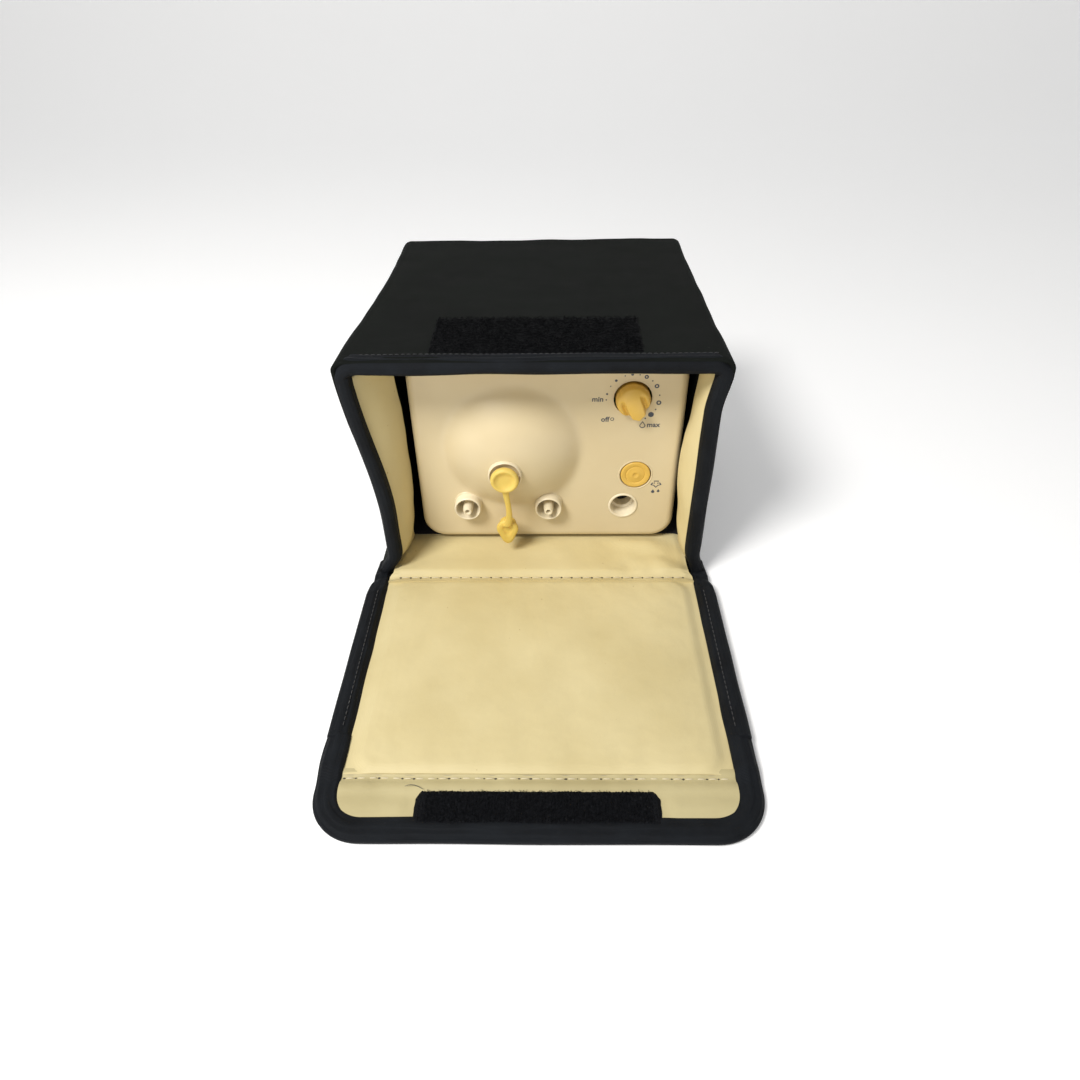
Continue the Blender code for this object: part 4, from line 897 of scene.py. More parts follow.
def make_floor_lining():
    """The case's floor pad. It runs out over the mouth to the sewn line before the flap."""
    half = INNER_HALF - 0.5 * MM
    ys = spans((-97.0, -80, 42), (-79, -52, 28), (-48, 79.5, 24))
    edge = np.linspace(half - 6 * MM, half, 10)
    xs = np.concatenate([-edge[::-1], np.linspace(-74 * MM, 74 * MM, 90), edge])
    grid = flat_grid(xs, ys, FLOOR_LINING_Z)
    flat = grid.reshape(-1, 3)
    flat[:, 0] *= 1 + (LINING_HALF / half - 1) * smoothstep(flat[:, 1], -89.5 * MM, -93 * MM)
    x, y = flat[:, 0].copy(), flat[:, 1]
    half = np.where(y < -91 * MM, LINING_HALF, half)
    to_stitch = np.abs(y - STITCH_Y)
    dip = 1 - smoothstep(to_stitch, 0.0, 5.5 * MM)
    out = smoothstep(y, -76 * MM, -88 * MM)
    open_part = smoothstep(y, -56 * MM, -66 * MM)
    flat[:, 2] += (0.5 * out - 1.9 * dip) * MM
    along = (x - 45 * MM) * 0.72 + (y + 64 * MM) * 0.5
    fan = smoothstep(x, 20 * MM, 60 * MM) * open_part * (1 - dip)
    crease = 0.9 * np.sin(along / (5.2 * MM) + 1.3 * ripple(flat, 0.02, 2.0))
    flat[:, 2] += 1.0 * MM * fan * (crease + ripple(flat, 0.009, 5.0) * 0.8)
    left_fan = smoothstep(x, -30 * MM, -76 * MM) * open_part * (1 - dip)
    left_crease = left_fan * np.sin((x * 0.4 - y) / (4.4 * MM))
    flat[:, 2] += 0.35 * MM * left_crease + 0.3 * MM * ripple(flat, 0.03, 9.0) * open_part
    side = np.minimum(half - np.abs(x), 6 * MM)
    flat[:, 2] -= 0.9 * MM * (1 - smoothstep(side, 0, 5 * MM))
    under = np.array([0, 0, -1]) * np.clip(flat[:, 2:3] - 2.75 * MM, 0.8 * MM, 5.0 * MM)
    pad = slab("floor_lining_pad", grid, under, LINING)
    bend_over(pad, "case", "flap", HINGE_FROM, HINGE_TO, "lining_bottom")


def make_wing(side):
    """A lined side wall: seen from the mouth back to where its pad rolls over and ends."""
    name = "right" if side > 0 else "left"
    if side < 0:
        heights = (8, 25, 41, 61, 94, 112, 124)
        backs = (75.0, 73.4, 71.3, 70.9, 71.6, 73.0, 74.5)
    else:
        heights = (8, 22, 36, 48, 58, 70, 80, 90, 112, 124)
        backs = (79.5, 77.6, 76.8, 75.6, 75.0, 75.0, 75.8, 77.6, 79.4, 80.2)
    rows, columns = 60, 44
    low, high = 8.0, 123.6
    mouth = MOUTH_Y + 4.0 * MM
    wing_back = -60 * MM if side < 0 else -63.4 * MM
    grid = np.zeros((rows, columns, 3))
    for row in range(rows):
        z = (low + (high - low) * row / (rows - 1)) * MM
        front = LINING_HALF + 0.2 * MM + float(side_shift(side, z))
        back = float(np.interp(z / MM, heights, backs)) * MM
        for column in range(columns):
            t = column / (columns - 1)
            y = mouth + (wing_back - mouth) * t
            bow = math.sin(math.pi * t) * 1.5 * MM
            x = front + (back - front) * t ** 0.8 - bow
            grid[row, column] = (side * x, y, z)
    flat = grid.reshape(-1, 3)
    share = smoothstep(flat[:, 1], MOUTH_Y + 5 * MM, MOUTH_Y + 14 * MM)
    waves = 0.7 * ripple(flat, 0.032, 6.0 + side) + 0.35 * ripple(flat, 0.012, 3.0 + side)
    low_folds = np.sin(flat[:, 2] / (3.6 * MM) - flat[:, 1] / (9 * MM))
    low_folds *= smoothstep(flat[:, 2], 46 * MM, 12 * MM)
    flat[:, 0] += side * MM * share * (-0.9 * waves - 0.55 * low_folds)
    outward = np.zeros_like(flat)
    edge_z = np.minimum(flat[:, 2] - low * MM, high * MM - flat[:, 2])
    shift = side_shift(side, flat[:, 2]) * smoothstep(flat[:, 1], 25 * MM, MOUTH_Y)
    room = np.maximum(HALF_WIDTH - 2.6 * MM + shift - np.abs(flat[:, 0]), 0.6 * MM)
    outward[:, 0] = side * np.minimum(room, (2.2 + 1.6 * smoothstep(edge_z, 0, 5 * MM)) * MM)
    wing = slab("side_lining_" + name, grid, outward, LINING)
    subdivide(wing)
    settle_in(wing, "case", "lining_" + name)


def make_top_lining():
    """The lining under the case's top, seen only from low down."""
    low, high = low_high("lining_top")
    xs = np.linspace(-81.5, 81.5, 70) * MM
    ys = np.linspace(MOUTH_Y + 5 * MM, -54 * MM, 40)
    grid = flat_grid(xs, ys, high[2])
    flat = grid.reshape(-1, 3)
    flat[:, 2] += 0.3 * MM * ripple(flat, 0.03, 4.4) - 0.3 * MM
    pad = slab("top_lining_pad", grid, high[2] - low[2], LINING)
    settle_in(pad, "case", "lining_top")


def make_painted_shade_liner():
    """The inside of the case behind the cream wings, which nothing lights, made of black cloth as
    painted shade.
    """
    sections = []
    for y in np.array([-56.5, -30, 0, 30, 60, 78, 81.5]) * MM:
        back = smoothstep(y, 60 * MM, 82 * MM)
        ring = case_ring((83.6 - 1.5 * back) * MM, 7.6 * MM, 124.6 * MM, (2 + 6 * back) * MM, 16, 5)
        sections.append(leaning_section(ring, y))
    points = np.array(sections).reshape(-1, 3)
    faces = tub_faces(len(sections), len(sections[0]))
    shade_liner = make_piece("painted_shade_deep_lining", points, faces, PAINTED_SHADE_LINING, 50)
    thicken(shade_liner, 1.6 * MM, 1)
    settle_in(shade_liner, "case", "lining_back")


# --- Flap and tail ---------------------------------------------------------------------------


def puckers(x, y, line, reach, pitch, seed):
    """Small gathers that fade away from a sewn line across the cloth."""
    wander = ripple(np.column_stack([x, 0 * x, 0 * x]), 0.02, seed)
    return np.exp(-(((y - line) / reach) ** 2)) * np.sin(x / pitch + 3 * wander)


def make_flap_pad():
    """The flap's padded panel: a low plateau inside a sewn channel."""
    ys = np.linspace(PAD_LOW[1] + 0.6 * MM, STITCH_Y - 1.4 * MM, 88)
    grid = flat_grid(np.linspace(-LINING_HALF, LINING_HALF, 112), ys, PAD_HIGH[2])
    flat = grid.reshape(-1, 3)
    x, y = flat[:, 0], flat[:, 1]
    half_x, middle_y = 79.3 * MM, (ys[0] + ys[-1]) / 2
    half_y = (ys[-1] - ys[0]) / 2 - 1.2 * MM
    radius = 9 * MM
    corner_x = np.maximum(np.abs(x) - half_x + radius, 0)
    corner_y = np.maximum(np.abs(y - middle_y) - half_y + radius, 0)
    inside = radius - np.hypot(corner_x, corner_y)
    swell = smoothstep(inside, -3.4 * MM, 3.2 * MM)
    crown = np.clip(1 - (x / half_x) ** 2, 0, 1) * np.clip(1 - ((y - middle_y) / half_y) ** 2, 0, 1)
    waves = 0.55 * ripple(flat, 0.05, 1.2) + 0.3 * ripple(flat, 0.022, 7.4)
    waves += 0.12 * ripple(flat, 0.009, 2.6)
    flat[:, 2] += MM * (-2.3 + 1.9 * swell + 0.75 * crown + 0.55 * waves * swell)
    pulled = puckers(x, y, ys[-1], 7 * MM, 2.7 * MM, 3.0)
    pulled_far = puckers(x, y, ys[0], 6 * MM, 2.9 * MM, 8.0)
    flat[:, 2] += 0.16 * MM * (pulled + pulled_far) * swell
    under = np.zeros_like(flat)
    under[:, 2] = 4.45 * MM - flat[:, 2]
    under[:, 2] = np.minimum(under[:, 2], -0.4 * MM)
    pad = slab("flap_pad", grid, under, LINING)
    pinned = np.ones(len(pad.data.vertices))
    pinned[: len(flat)] = 1 - smoothstep(inside, 0.5 * MM, 6 * MM) * 0.999
    settle(pad, pinned, 4.0, 0.0005, 1.2 * MM)
    subdivide(pad)
    settle_in(pad, "flap", "flap_lining")


def make_flap_outer():
    """The flap's outer cloth, on the table, from under the case to the tail."""
    half = 86 * MM
    ys = spans((-88.0, -99.0, 30), (-101, -217.5, 40))
    grid = flat_grid(np.linspace(-half, half, 60), ys, 2.1 * MM)
    sheet = slab("flap_outer_cloth", grid, 1.7 * MM, OUTER)
    bend_over(sheet, "case", "flap", HINGE_FROM, HINGE_TO, "flap_outer", "flap_hinge_strip")


def tail_edge(y):
    """Half the tail's width inside its binding, where the far corners curve in."""
    radius = 14 * MM
    reach = np.clip((TAIL_FAR_Y + 3 * MM + radius - y) / radius, 0, 1)
    return LINING_HALF - radius * (1 - np.sqrt(1 - reach**2))


def make_tail_lining():
    """The unpadded end of the lining, with the sewn line across it."""
    ys = spans((-215.6, -226.5, 34), (-227.5, -241.5, 26))
    us = np.linspace(-1, 1, 150)
    grid = np.array([[(u * tail_edge(y), y, TAIL_LINING_Z) for u in us] for y in ys])
    flat = grid.reshape(-1, 3)
    x, y = flat[:, 0], flat[:, 1]
    dip = 1 - smoothstep(np.abs(y - TAIL_STITCH_Y), 0.0, 3.0 * MM)
    rise = smoothstep(y, TAIL_STITCH_Y - 1 * MM, TAIL_STITCH_Y + 4.5 * MM)
    pucker = puckers(x, y, TAIL_STITCH_Y, 6 * MM, 2.5 * MM, 5.0)
    start = smoothstep(y, TAIL_STITCH_Y + 0.5 * MM, TAIL_STITCH_Y - 3 * MM)
    welt = np.exp(-(((y + 224.5 * MM) / (3.2 * MM)) ** 2))
    level = 0.5 + 0.75 * (1 - start) - 0.85 * dip + 0.15 * rise + 0.9 * welt
    flat[:, 2] += MM * (level + 0.16 * pucker + 0.3 * ripple(flat, 0.02, 12.0) * start)
    beside_tape = np.exp(-(((y + 233 * MM) / (5 * MM)) ** 2)) * smoothstep(np.abs(x), 52 * MM, 58 * MM)
    flat[:, 2] += MM * 0.7 * beside_tape
    # Painted shade: the tail's lining is the darker copy of the lining cloth.
    lining = slab("tail_lining_cloth", grid, 1.1 * MM, SHADED_TAIL_LINING)
    bend_over(lining, "flap", "tail", TAIL_FROM, TAIL_TO, "tail_lining", "tail_hinge_strip")


def make_tail_outer():
    """The tail's outer cloth, on the table."""
    ys = np.linspace(-218.0, -242.5, 40) * MM
    us = np.linspace(-1, 1, 60)
    grid = np.array([[(u * (tail_edge(y) + 1 * MM), y, 1.9 * MM) for u in us] for y in ys])
    sheet = slab("tail_outer_cloth", grid, 1.5 * MM, OUTER)
    bend_over(sheet, "flap", "tail", TAIL_FROM, TAIL_TO, "tail_outer")


def band_sections(centres, heights, widths, seed):
    """Rings of the folded tape along a path (x, y) on the table."""
    # (out from the tape's middle line, up from the table), over the top and back under
    section = [(-5.4, 3.2), (-5.6, 5.3), (-4.9, 6.9), (-3.0, 7.9), (-0.6, 8.3), (2.0, 7.9), (4.1, 6.9)]
    section += [(5.4, 5.2), (5.8, 3.2), (5.2, 1.4), (3.4, 0.35), (0.4, 0.15), (-2.8, 0.2), (-5.2, 0.6)]
    section += [(-5.3, 1.9), (-5.4, 3.2)]
    profile = rounded(section, 1.0, 2)[:-1]
    centres = np.asarray(centres, float)
    sections = []
    travelled = 0.0
    for index, centre in enumerate(centres):
        before = centres[max(index - 1, 0)]
        after = centres[min(index + 1, len(centres) - 1)]
        heading = (after - before) / np.linalg.norm(after - before)
        out = np.array((heading[1], -heading[0]))
        travelled += np.linalg.norm(centre - centres[max(index - 1, 0)])
        ring = []
        for number, (a, b) in enumerate(profile):
            wobble = noise.noise(Vector((travelled / 0.02, number * 0.15, seed)))
            drift = noise.noise(Vector((travelled / 0.05, seed, 0.0)))
            rib = 0.16 * math.sin(number * 1.3 + 1.6 * drift)
            high = 1.0 if b > 2.5 else 0.0
            flank = (a * widths[index] + (0.4 * wobble + rib) * high) * MM
            up = (b * heights[index] + (0.45 * wobble + rib) * high) * MM
            ring.append((centre[0] + out[0] * flank, centre[1] + out[1] * flank, max(up, 0.05 * MM)))
        sections.append(ring)
    return np.array(sections)


def make_side_band(side):
    """The tape along one side, from under the mouth's corner to a join near the far end."""
    name = "right" if side > 0 else "left"
    ys = np.concatenate([np.linspace(-77, -104, 46), np.linspace(-105, -201, 84)[1:]]) * MM
    centres, heights, widths = [], [], []
    for y in ys:
        start = smoothstep(y, -77 * MM, -92 * MM)
        pinch = math.exp(-(((y + 95.5 * MM) / (6.5 * MM)) ** 2))
        x = side * (88.6 + 1.0 * start - 0.9 * pinch) * MM
        centres.append((x, y))
        heights.append(0.60 + 0.38 * float(smoothstep(y, -84 * MM, -104 * MM)) - 0.05 * pinch)
        widths.append(0.72 + 0.26 * float(smoothstep(y, -82 * MM, -100 * MM)) - 0.12 * pinch)
    sections = band_sections(centres, heights, widths, 3.0 + side)
    if side < 0:
        sections[:, :, 0] = 2 * np.array(centres)[:, :1] - sections[:, :, 0]
    fold = np.exp(-(((sections[:, :, 1] + 96 * MM) / (9 * MM)) ** 2))
    crease = np.sin((sections[:, :, 1] + 0.55 * side * sections[:, :, 0]) / (1.35 * MM))
    up = sections[:, :, 2] > 2.6 * MM
    sections[:, :, 2] += 0.45 * MM * fold * crease * up
    band = loft("flap_band_" + name, sections, BINDING, 70)
    subdivide(band)
    bend_over(band, "case", "flap", HINGE_FROM, HINGE_TO, "flap_binding_" + name)


def make_band_stitches(side):
    """The lock stitch that holds the folded tape, along the middle of its upper face."""
    name = "right" if side > 0 else "left"
    places = []
    for y in np.linspace(-106 * MM, -198 * MM, 60):
        wander = 0.35 * MM * noise.noise(Vector((y / 0.03, side, 0.0)))
        places.append((side * 88.0 * MM + wander, y, 8.15 * MM))
    width, pitch, lift = 0.45 * MM, 3.0 * MM, 0.05 * MM
    thread = thread_run("band_stitches_" + name, places, BLACK_THREAD, width, pitch, 0.3, lift)
    settle_in(thread, "flap")


def make_tail_band():
    """The tape round the tail: down one side, round both far corners and back up."""
    half, radius, corner_steps = 89.4 * MM, 17 * MM, 18
    right = [(half, y) for y in np.linspace(-199 * MM, TAIL_FAR_Y + radius, 46)]
    for step in range(1, corner_steps + 1):
        angle = math.pi / 2 * step / corner_steps
        x = half - radius * (1 - math.cos(angle))
        right.append((x, TAIL_FAR_Y + radius * (1 - math.sin(angle))))
    across = [(x, TAIL_FAR_Y) for x in np.linspace(half - radius, -half + radius, 130)[1:-1]]
    left = [(-x, y) for x, y in reversed(right)]
    centres = np.array(right + across + left)
    bulge = 0.35 * MM * ripple(np.column_stack([centres, np.zeros(len(centres))]), 0.04, 6.6)
    centres[:, 1] += bulge * smoothstep(centres[:, 1], -228 * MM, -240 * MM)
    centres = centres[::-1]
    heights = 0.97 - 0.33 * smoothstep(centres[:, 1], -214 * MM, -224 * MM)
    widths = np.full(len(centres), 0.98)
    band = loft("tail_band", band_sections(centres, heights, widths, 9.0), BINDING, 70)
    subdivide(band)
    bend_over(band, "flap", "tail", TAIL_FROM, TAIL_TO, "tail_binding")


def make_hook_strip():
    """The hook tape on the tail, with its hooks and one loose thread at its left end."""
    low = HOOK_LOW - (0, 1.5 * MM, 0)
    high = HOOK_HIGH - (0, 0, 0.5 * MM)
    tape = make_tape("hook_tape_base", low, high, HOOK_TAPE, 11.0, 0.22 * MM, 4 * MM)
    settle_in(tape, "tail", "hook_strip")
    foot_low = low + (4 * MM, 2 * MM, 0)
    foot_high = high - (4 * MM, 0.9 * MM, 0.05 * MM)
    pile = make_pile("hook_pile", foot_low, foot_high, 17, 3600, 0.8 * MM, 0.075 * MM, HOOK_TAPE, 1.5)
    settle_in(pile, "tail")
    ends = []
    for t in np.linspace(0, 1, 25):
        x = low[0] + 3 * MM - 9 * MM * t
        y = HOOK_HIGH[1] - 0.3 * MM + 1.8 * MM * math.sin(2.6 * t)
        ends.append((x, y, HOOK_HIGH[2] + 0.6 * MM * math.sin(3 * t)))
    thread = thread_run("hook_loose_thread", ends, BLACK_THREAD, 0.3 * MM, 8.6 * MM, 0.02)
    settle_in(thread, "tail")


# --- Seams -----------------------------------------------------------------------------------


def make_seam(name, y, z, half_left, half_right, pitch, seed, *bend):
    """One sewn line across the lining: cream stitches, a little uneven, sunk where the needle went in,
    with a dark pebble in each needle hole as painted shade.
    """
    rng = random.Random(seed)

    def on_line(x):
        return x, y + 0.25 * MM * noise.noise(Vector((x / 0.02, seed, 0.0))), z

    line = [on_line(x) for x in np.linspace(-half_left, half_right, 160)]
    thread = thread_run(name + "_thread", line, CREAM_THREAD, 0.75 * MM, pitch, 0.32, 0.05 * MM)
    points, faces = [], []
    pebble, sides = ((1.0, 0.0), (0.85, 0.22), (0.35, 0.34)), 8
    for number in range(int((half_left + half_right) / pitch) + 1):
        centre = np.array(on_line(-half_left + number * pitch)) - (0, 0, 0.25 * MM)
        wide, deep = rng.uniform(0.55, 0.8) * MM, rng.uniform(0.4, 0.55) * MM
        faces += tube_faces(len(pebble), sides, len(points))
        for size, up in pebble:
            for a, b in disc_loop(0, 0, size, sides):
                points.append(centre + (wide * a, deep * b, up * MM))
    # Dark pebbles at the needle holes: painted shade in the holes.
    hole_shade = make_piece(name + "_hole_shade", points, faces, NEEDLE_HOLE_SHADE, 60)
    bend_over(thread, *bend)
    bend_over(hole_shade, *bend)


# --- Motor unit ------------------------------------------------------------------------------


def face_depth(x, z, inside):
    """The face's relief: flat, with the air chamber's dome and a rounded edge."""
    fillet = 4.5 * MM
    reach = np.clip(1 - inside / fillet, 0, 1)
    y = FACE_Y + fillet * (1 - np.sqrt(1 - reach**2))
    flat_radius, height = 36 * MM, 15 * MM
    ball = (flat_radius**2 + height**2) / (2 * height)
    distance = np.hypot(x - DOME[0], z - DOME[1])
    bulge = np.sqrt(np.maximum(ball**2 - distance**2, 0)) - (ball - height)
    soft = 2.6 * MM
    swollen = 0.5 * (bulge + np.sqrt(bulge**2 + soft**2))
    swollen -= 0.5 * soft * np.exp(-((distance / flat_radius) ** 4))
    fade = 1 - smoothstep(distance, flat_radius, flat_radius + 9 * MM)
    return y - np.where(distance > flat_radius + 9 * MM, 0.0, swollen * fade)


def face_rows():
    """(inset from the outline, fixed depth or none), from the skirt's back edge to the face's flat."""
    skirt = [(0.0, depth * MM) for depth in (-10.3, -17, -24, -32, -40, -48, -54, -57)]
    insets = (0, 0.15, 0.5, 1.0, 1.6, 2.3, 3.0, 3.8, 4.5, 5.5, 7, 9, 11, 13)
    return skirt + [(inset * MM, None) for inset in insets]


def make_face():
    """The front half of the housing, moulded in one with its dome and bored for every control."""
    low, high, radius = FACE_LOW, FACE_HIGH, 13 * MM
    xs = np.linspace(low[0] + radius, high[0] - radius, 112)
    zs = np.linspace(low[2] + radius, high[2] - radius, 84)
    rows = face_rows()
    shape = bmesh.new()

    def patch(places, count_rows, count_columns):
        verts = [shape.verts.new(place) for place in places]
        for face in grid_faces(count_rows, count_columns):
            corners = [verts[i] for i in face]
            shape.faces.new(corners)

    def depth(x, z, inset, fixed):
        if fixed is not None:
            return fixed
        return float(face_depth(np.array(x), np.array(z), np.array(inset)))

    patch([(x, depth(x, z, radius, None), z) for z in zs for x in xs], len(zs), len(xs))
    edges = ((low, 1), (high, -1))
    for edge, way in edges:
        places = []
        for inset, fixed in rows:
            z = edge[2] + way * inset
            places += [(x, depth(x, z, inset, fixed), z) for x in xs]
        patch(places, len(rows), len(xs))
    for edge, way in edges:
        places = []
        for inset, fixed in rows:
            x = edge[0] + way * inset
            places += [(x, depth(x, z, inset, fixed), z) for z in zs]
        patch(places, len(rows), len(zs))
    steps = 14
    corners = ((xs[-1], zs[-1]), (xs[0], zs[-1]), (xs[0], zs[0]), (xs[-1], zs[0]))
    for number, (x, z) in enumerate(corners):
        places = []
        for inset, fixed in rows:
            for step in range(steps + 1):
                angle = (number + step / steps) * math.pi / 2
                px = x + (radius - inset) * math.cos(angle)
                pz = z + (radius - inset) * math.sin(angle)
                places.append((px, depth(px, pz, inset, fixed), pz))
        patch(places, len(rows), steps + 1)
    bmesh.ops.remove_doubles(shape, verts=shape.verts, dist=2e-6)
    bmesh.ops.dissolve_degenerate(shape, edges=shape.edges, dist=1e-6)
    bmesh.ops.recalc_face_normals(shape, faces=shape.faces)
    mesh = bpy.data.meshes.new("front_shell")
    shape.to_mesh(mesh)
    shape.free()
    mesh.shade_smooth()
    mesh.materials.append(CREAM)
    face = link(bpy.data.objects.new("front_shell", mesh))
    flat_place = Vector((0.03, FACE_Y, 0.06))
    nearest = min(mesh.polygons, key=lambda polygon: (polygon.center - flat_place).length)
    thicken(face, 2.4 * MM, -1 if nearest.normal.y < 0 else 1)
    bores = [(DIAL, 9.85), (PORTS["left"], 7.55), (PORTS["right"], 7.55)]
    bores += [(BUTTON, 8.6), (SOCKET, 8.4), (ANCHOR, 2.2)]
    cutters = []
    for place, size in bores:
        profile = [(0, -12), (size, -12), (size, 20), (0, 20)]
        cutters.append(turned("cutter", profile, in_front(place), CREAM, 64))
    cut(face, cutters, 30)
    settle_in(face, "case", "front_housing")


def make_ports():
    """The two vacuum ports: a ring round a hollow nipple, and a small moulded foot on the face."""
    tube = [(7.5, -14.0), (7.5, 4.9), (7.3, 5.6), (6.9, 6.0), (6.55, 5.9), (6.3, 5.4), (6.2, -6.9)]
    tube += [(2.8, -6.9), (2.75, 4.4), (2.5, 7.0), (2.1, 8.3), (1.5, 8.4), (1.1, 7.7), (1.0, -9.0)]
    tube += [(1.0, -14.0), (7.5, -14.0)]
    foot = [(7.35, -0.6), (8.3, -0.6), (8.25, 0.05), (7.85, 0.35), (7.5, 0.9), (7.35, 0.9), (7.35, -0.6)]
    for side, place in PORTS.items():
        at = in_front(place)
        settle_in(turned("vacuum_port_" + side, tube, at, PALE), "case", "port_" + side)
        settle_in(turned("port_foot_" + side, foot, at, CREAM, sharp=60), "case")


def make_knob():
    """The dial: a round domed grip, a broad finger bar in its lower half, and a small pointed lip."""
    pointer = math.radians(-67)
    rings, sides = 70, 200
    rows = np.zeros((rings, sides, 3))
    for ring in range(1, rings):
        share = (ring / (rings - 1)) ** 0.85
        for side in range(sides):
            angle = TAU * side / sides
            off = (angle - pointer + math.pi) % TAU - math.pi
            lip = 0.7 * math.exp(-((off / 0.5) ** 6)) + 1.2 * math.exp(-(((off + 0.04) / 0.15) ** 2))
            radius = (DIAL_GRIP + lip * MM) * share
            x = DIAL.x + radius * math.cos(angle)
            z = DIAL.z + radius * math.sin(angle)
            front = knob_height(radius * math.cos(off), radius * math.sin(off), share)
            rows[ring, side] = (x, FACE_Y - front, z)
    skirt = []
    for share, depth in ((1.0, -0.9), (0.97, -0.5), (1.0, 3.0), (1.0, 4.6)):
        ring = rows[-1].copy()
        around = ring[:, (0, 2)] - (DIAL.x, DIAL.z)
        length = np.linalg.norm(around, axis=1, keepdims=True)
        if depth > 0 or share < 1:
            around *= np.minimum(1, DIAL_GRIP * share / length)
        ring[:, 0], ring[:, 2] = DIAL.x + around[:, 0], DIAL.z + around[:, 1]
        ring[:, 1] = FACE_Y + depth * MM
        skirt.append(ring)
    rows = np.concatenate([rows[1:], np.array(skirt)])
    faces = grid_faces(len(rows), sides, closed=True)
    centre = len(rows) * sides
    faces += [(centre, (side + 1) % sides, side) for side in range(sides)]
    last = centre - sides
    faces.append(tuple(last + side for side in range(sides)))
    crown = (DIAL.x, FACE_Y - knob_height(0.0, 0.0, 0.0), DIAL.z)
    points = np.concatenate([rows.reshape(-1, 3), [crown]])
    settle_in(make_piece("dial_grip", points, faces, YELLOW, 60), "dial", "dial_knob")


def knob_height(along, across, share):
    """How far the knob's front stands out of the face. Along is towards the pointer."""
    dome = 3.4 + 4.0 * math.sqrt(max(0.0, 1 - (share * 0.97) ** 2))
    lower = float(smoothstep(along, -4.5 * MM, 0.5 * MM))
    bar_half = (3.5 - 0.4 * float(smoothstep(along, 0, 9 * MM))) * MM
    bar = 1 - float(smoothstep(abs(across), bar_half, bar_half + 1.2 * MM))
    crest = 7.7 - 0.9 * float(smoothstep(along, 4 * MM, 11 * MM)) - 0.5 * (across / (4 * MM)) ** 2
    scoop = 2.1 * math.exp(-(((abs(across) - bar_half - 1.5 * MM) / (1.3 * MM)) ** 2))
    height = dome - lower * scoop * (1 - bar)
    height += lower * bar * max(0.0, crest - height)
    edge = 1 - math.sqrt(max(0.0, 1 - min(1.0, max(0.0, (share - 0.88) / 0.12)) ** 2))
    return (height - edge * max(0.0, height - 1.6)) * MM


def make_button():
    """The let-down button: a shallow cup with a moulded ring and a dimpled middle."""
    at = in_front(BUTTON)
    cup = [(0.0, 0.05), (0.7, 0.1), (1.3, 0.38), (1.9, 0.5), (2.6, 0.35), (3.4, 0.2), (4.6, 0.12)]
    cup += [(5.0, -0.1), (5.3, -0.1), (5.6, 0.14), (6.6, 0.28), (7.4, 0.34), (7.9, 0.2), (8.15, -0.2)]
    cup += [(8.2, -3.0), (7.2, -3.4), (2.0, -3.4), (0.0, -3.4)]
    button = turned("letdown_cap", rounded(cup, 0.3, 2), at, YELLOW)
    settle_in(button, "button", "letdown_button")
    trim = [(8.6, -1.6), (9.5, -1.6), (9.6, 0.0), (9.3, 0.22), (8.9, 0.2), (8.6, -0.1), (8.6, -1.6)]
    settle_in(turned("button_trim", trim, at, CREAM, sharp=50), "case")


def make_socket():
    """The sleeve that a power plug goes into, narrower at its foot round the jack."""
    sleeve = [(8.3, -14.0), (8.3, 0.1), (8.1, 0.45), (7.7, 0.6), (7.2, 0.5), (6.9, 0.1), (6.8, -7.5)]
    sleeve += [(5.6, -8.2), (5.5, -14.0), (8.3, -14.0)]
    recess = turned("power_recess", sleeve, in_front(SOCKET), PALE)
    settle_in(recess, "case", "socket_sleeve")


def make_cap_strap():
    """The thin strap that hangs from the disc to the cap, narrowest in its upper half."""
    top, bottom, half_thick = ANCHOR.z - 4 * MM, CAP_MIDDLE_Z + 3 * MM, 0.95 * MM
    sections = []
    for t in np.linspace(0, 1, 26):
        half_wide = (2.7 - 1.15 * math.sin(math.pi * min(1, 0.12 + t * 0.8))) * MM
        x = ANCHOR.x + 1.5 * MM * math.sin(math.pi * t**1.6)
        y = CAP_FRONT_Y + 2.2 * MM + 3.6 * MM * t
        z = top + (bottom - top) * t
        sections.append([(x + half_wide * a, y + half_thick * b, z) for a, b in disc_loop(0, 0, 1)])
    return loft("strap", sections, YELLOW_RUBBER)


def make_cap_leaf(y):
    """The cap itself: a round leaf with a point at its foot and a dimple in its middle."""
    outline = []
    for a, b in disc_loop(0, 0, 1, 72):
        down = max(0.0, -b)
        radius = (6.1 + 4.4 * down**6) * MM
        outline.append((a * radius * (1 - 0.12 * down**3), b * radius))
    relief = [(0.05, 0.9), (0.30, 0.75), (0.52, 0.1), (0.78, 0.0), (0.92, 0.3), (1.0, 1.1)]
    relief += [(0.98, 2.1), (0.9, 2.5)]
    layers = []
    for scale, depth in relief:
        layer = [(ANCHOR.x + a * scale, y + depth * MM, CAP_MIDDLE_Z + b * scale) for a, b in outline]
        layers.append(layer)
    return loft("cap", layers, YELLOW_RUBBER)


def make_port_cap():
    """The tethered cap: disc, strap, pointed cap and plug, moulded as one."""
    cap_y = -76.0 * MM
    disc = [(0.0, -1.6), (3.4, -1.5), (4.9, -0.9), (5.5, -0.25), (6.2, 0.0), (7.0, -0.3), (7.5, -1.1)]
    disc += [(7.6, -2.2), (7.3, -3.4), (6.5, -4.3), (2.1, -4.6), (2.0, -13.0), (0.0, -13.2)]
    plug = [(0.0, 0.0), (4.6, 0.0), (4.9, -3.6), (4.5, -5.0), (3.6, -5.0), (3.2, -4.4), (3.2, -1.4)]
    plug += [(0.0, -1.4)]
    disc_at = (ANCHOR.x, CAP_FRONT_Y, ANCHOR.z)
    plug_at = (ANCHOR.x, cap_y + 2.0 * MM, CAP_MIDDLE_Z)
    pieces = [
        turned("port_cap_disc", rounded(disc, 0.5, 2), disc_at, YELLOW_RUBBER, 64),
        make_cap_strap(),
        make_cap_leaf(cap_y),
        turned("plug", rounded(plug, 0.5, 3), plug_at, YELLOW_RUBBER, 48),
    ]
    settle_in(fuse(join("tethered_cap", pieces), 0.3 * MM, 3), "cap", "port_cap")


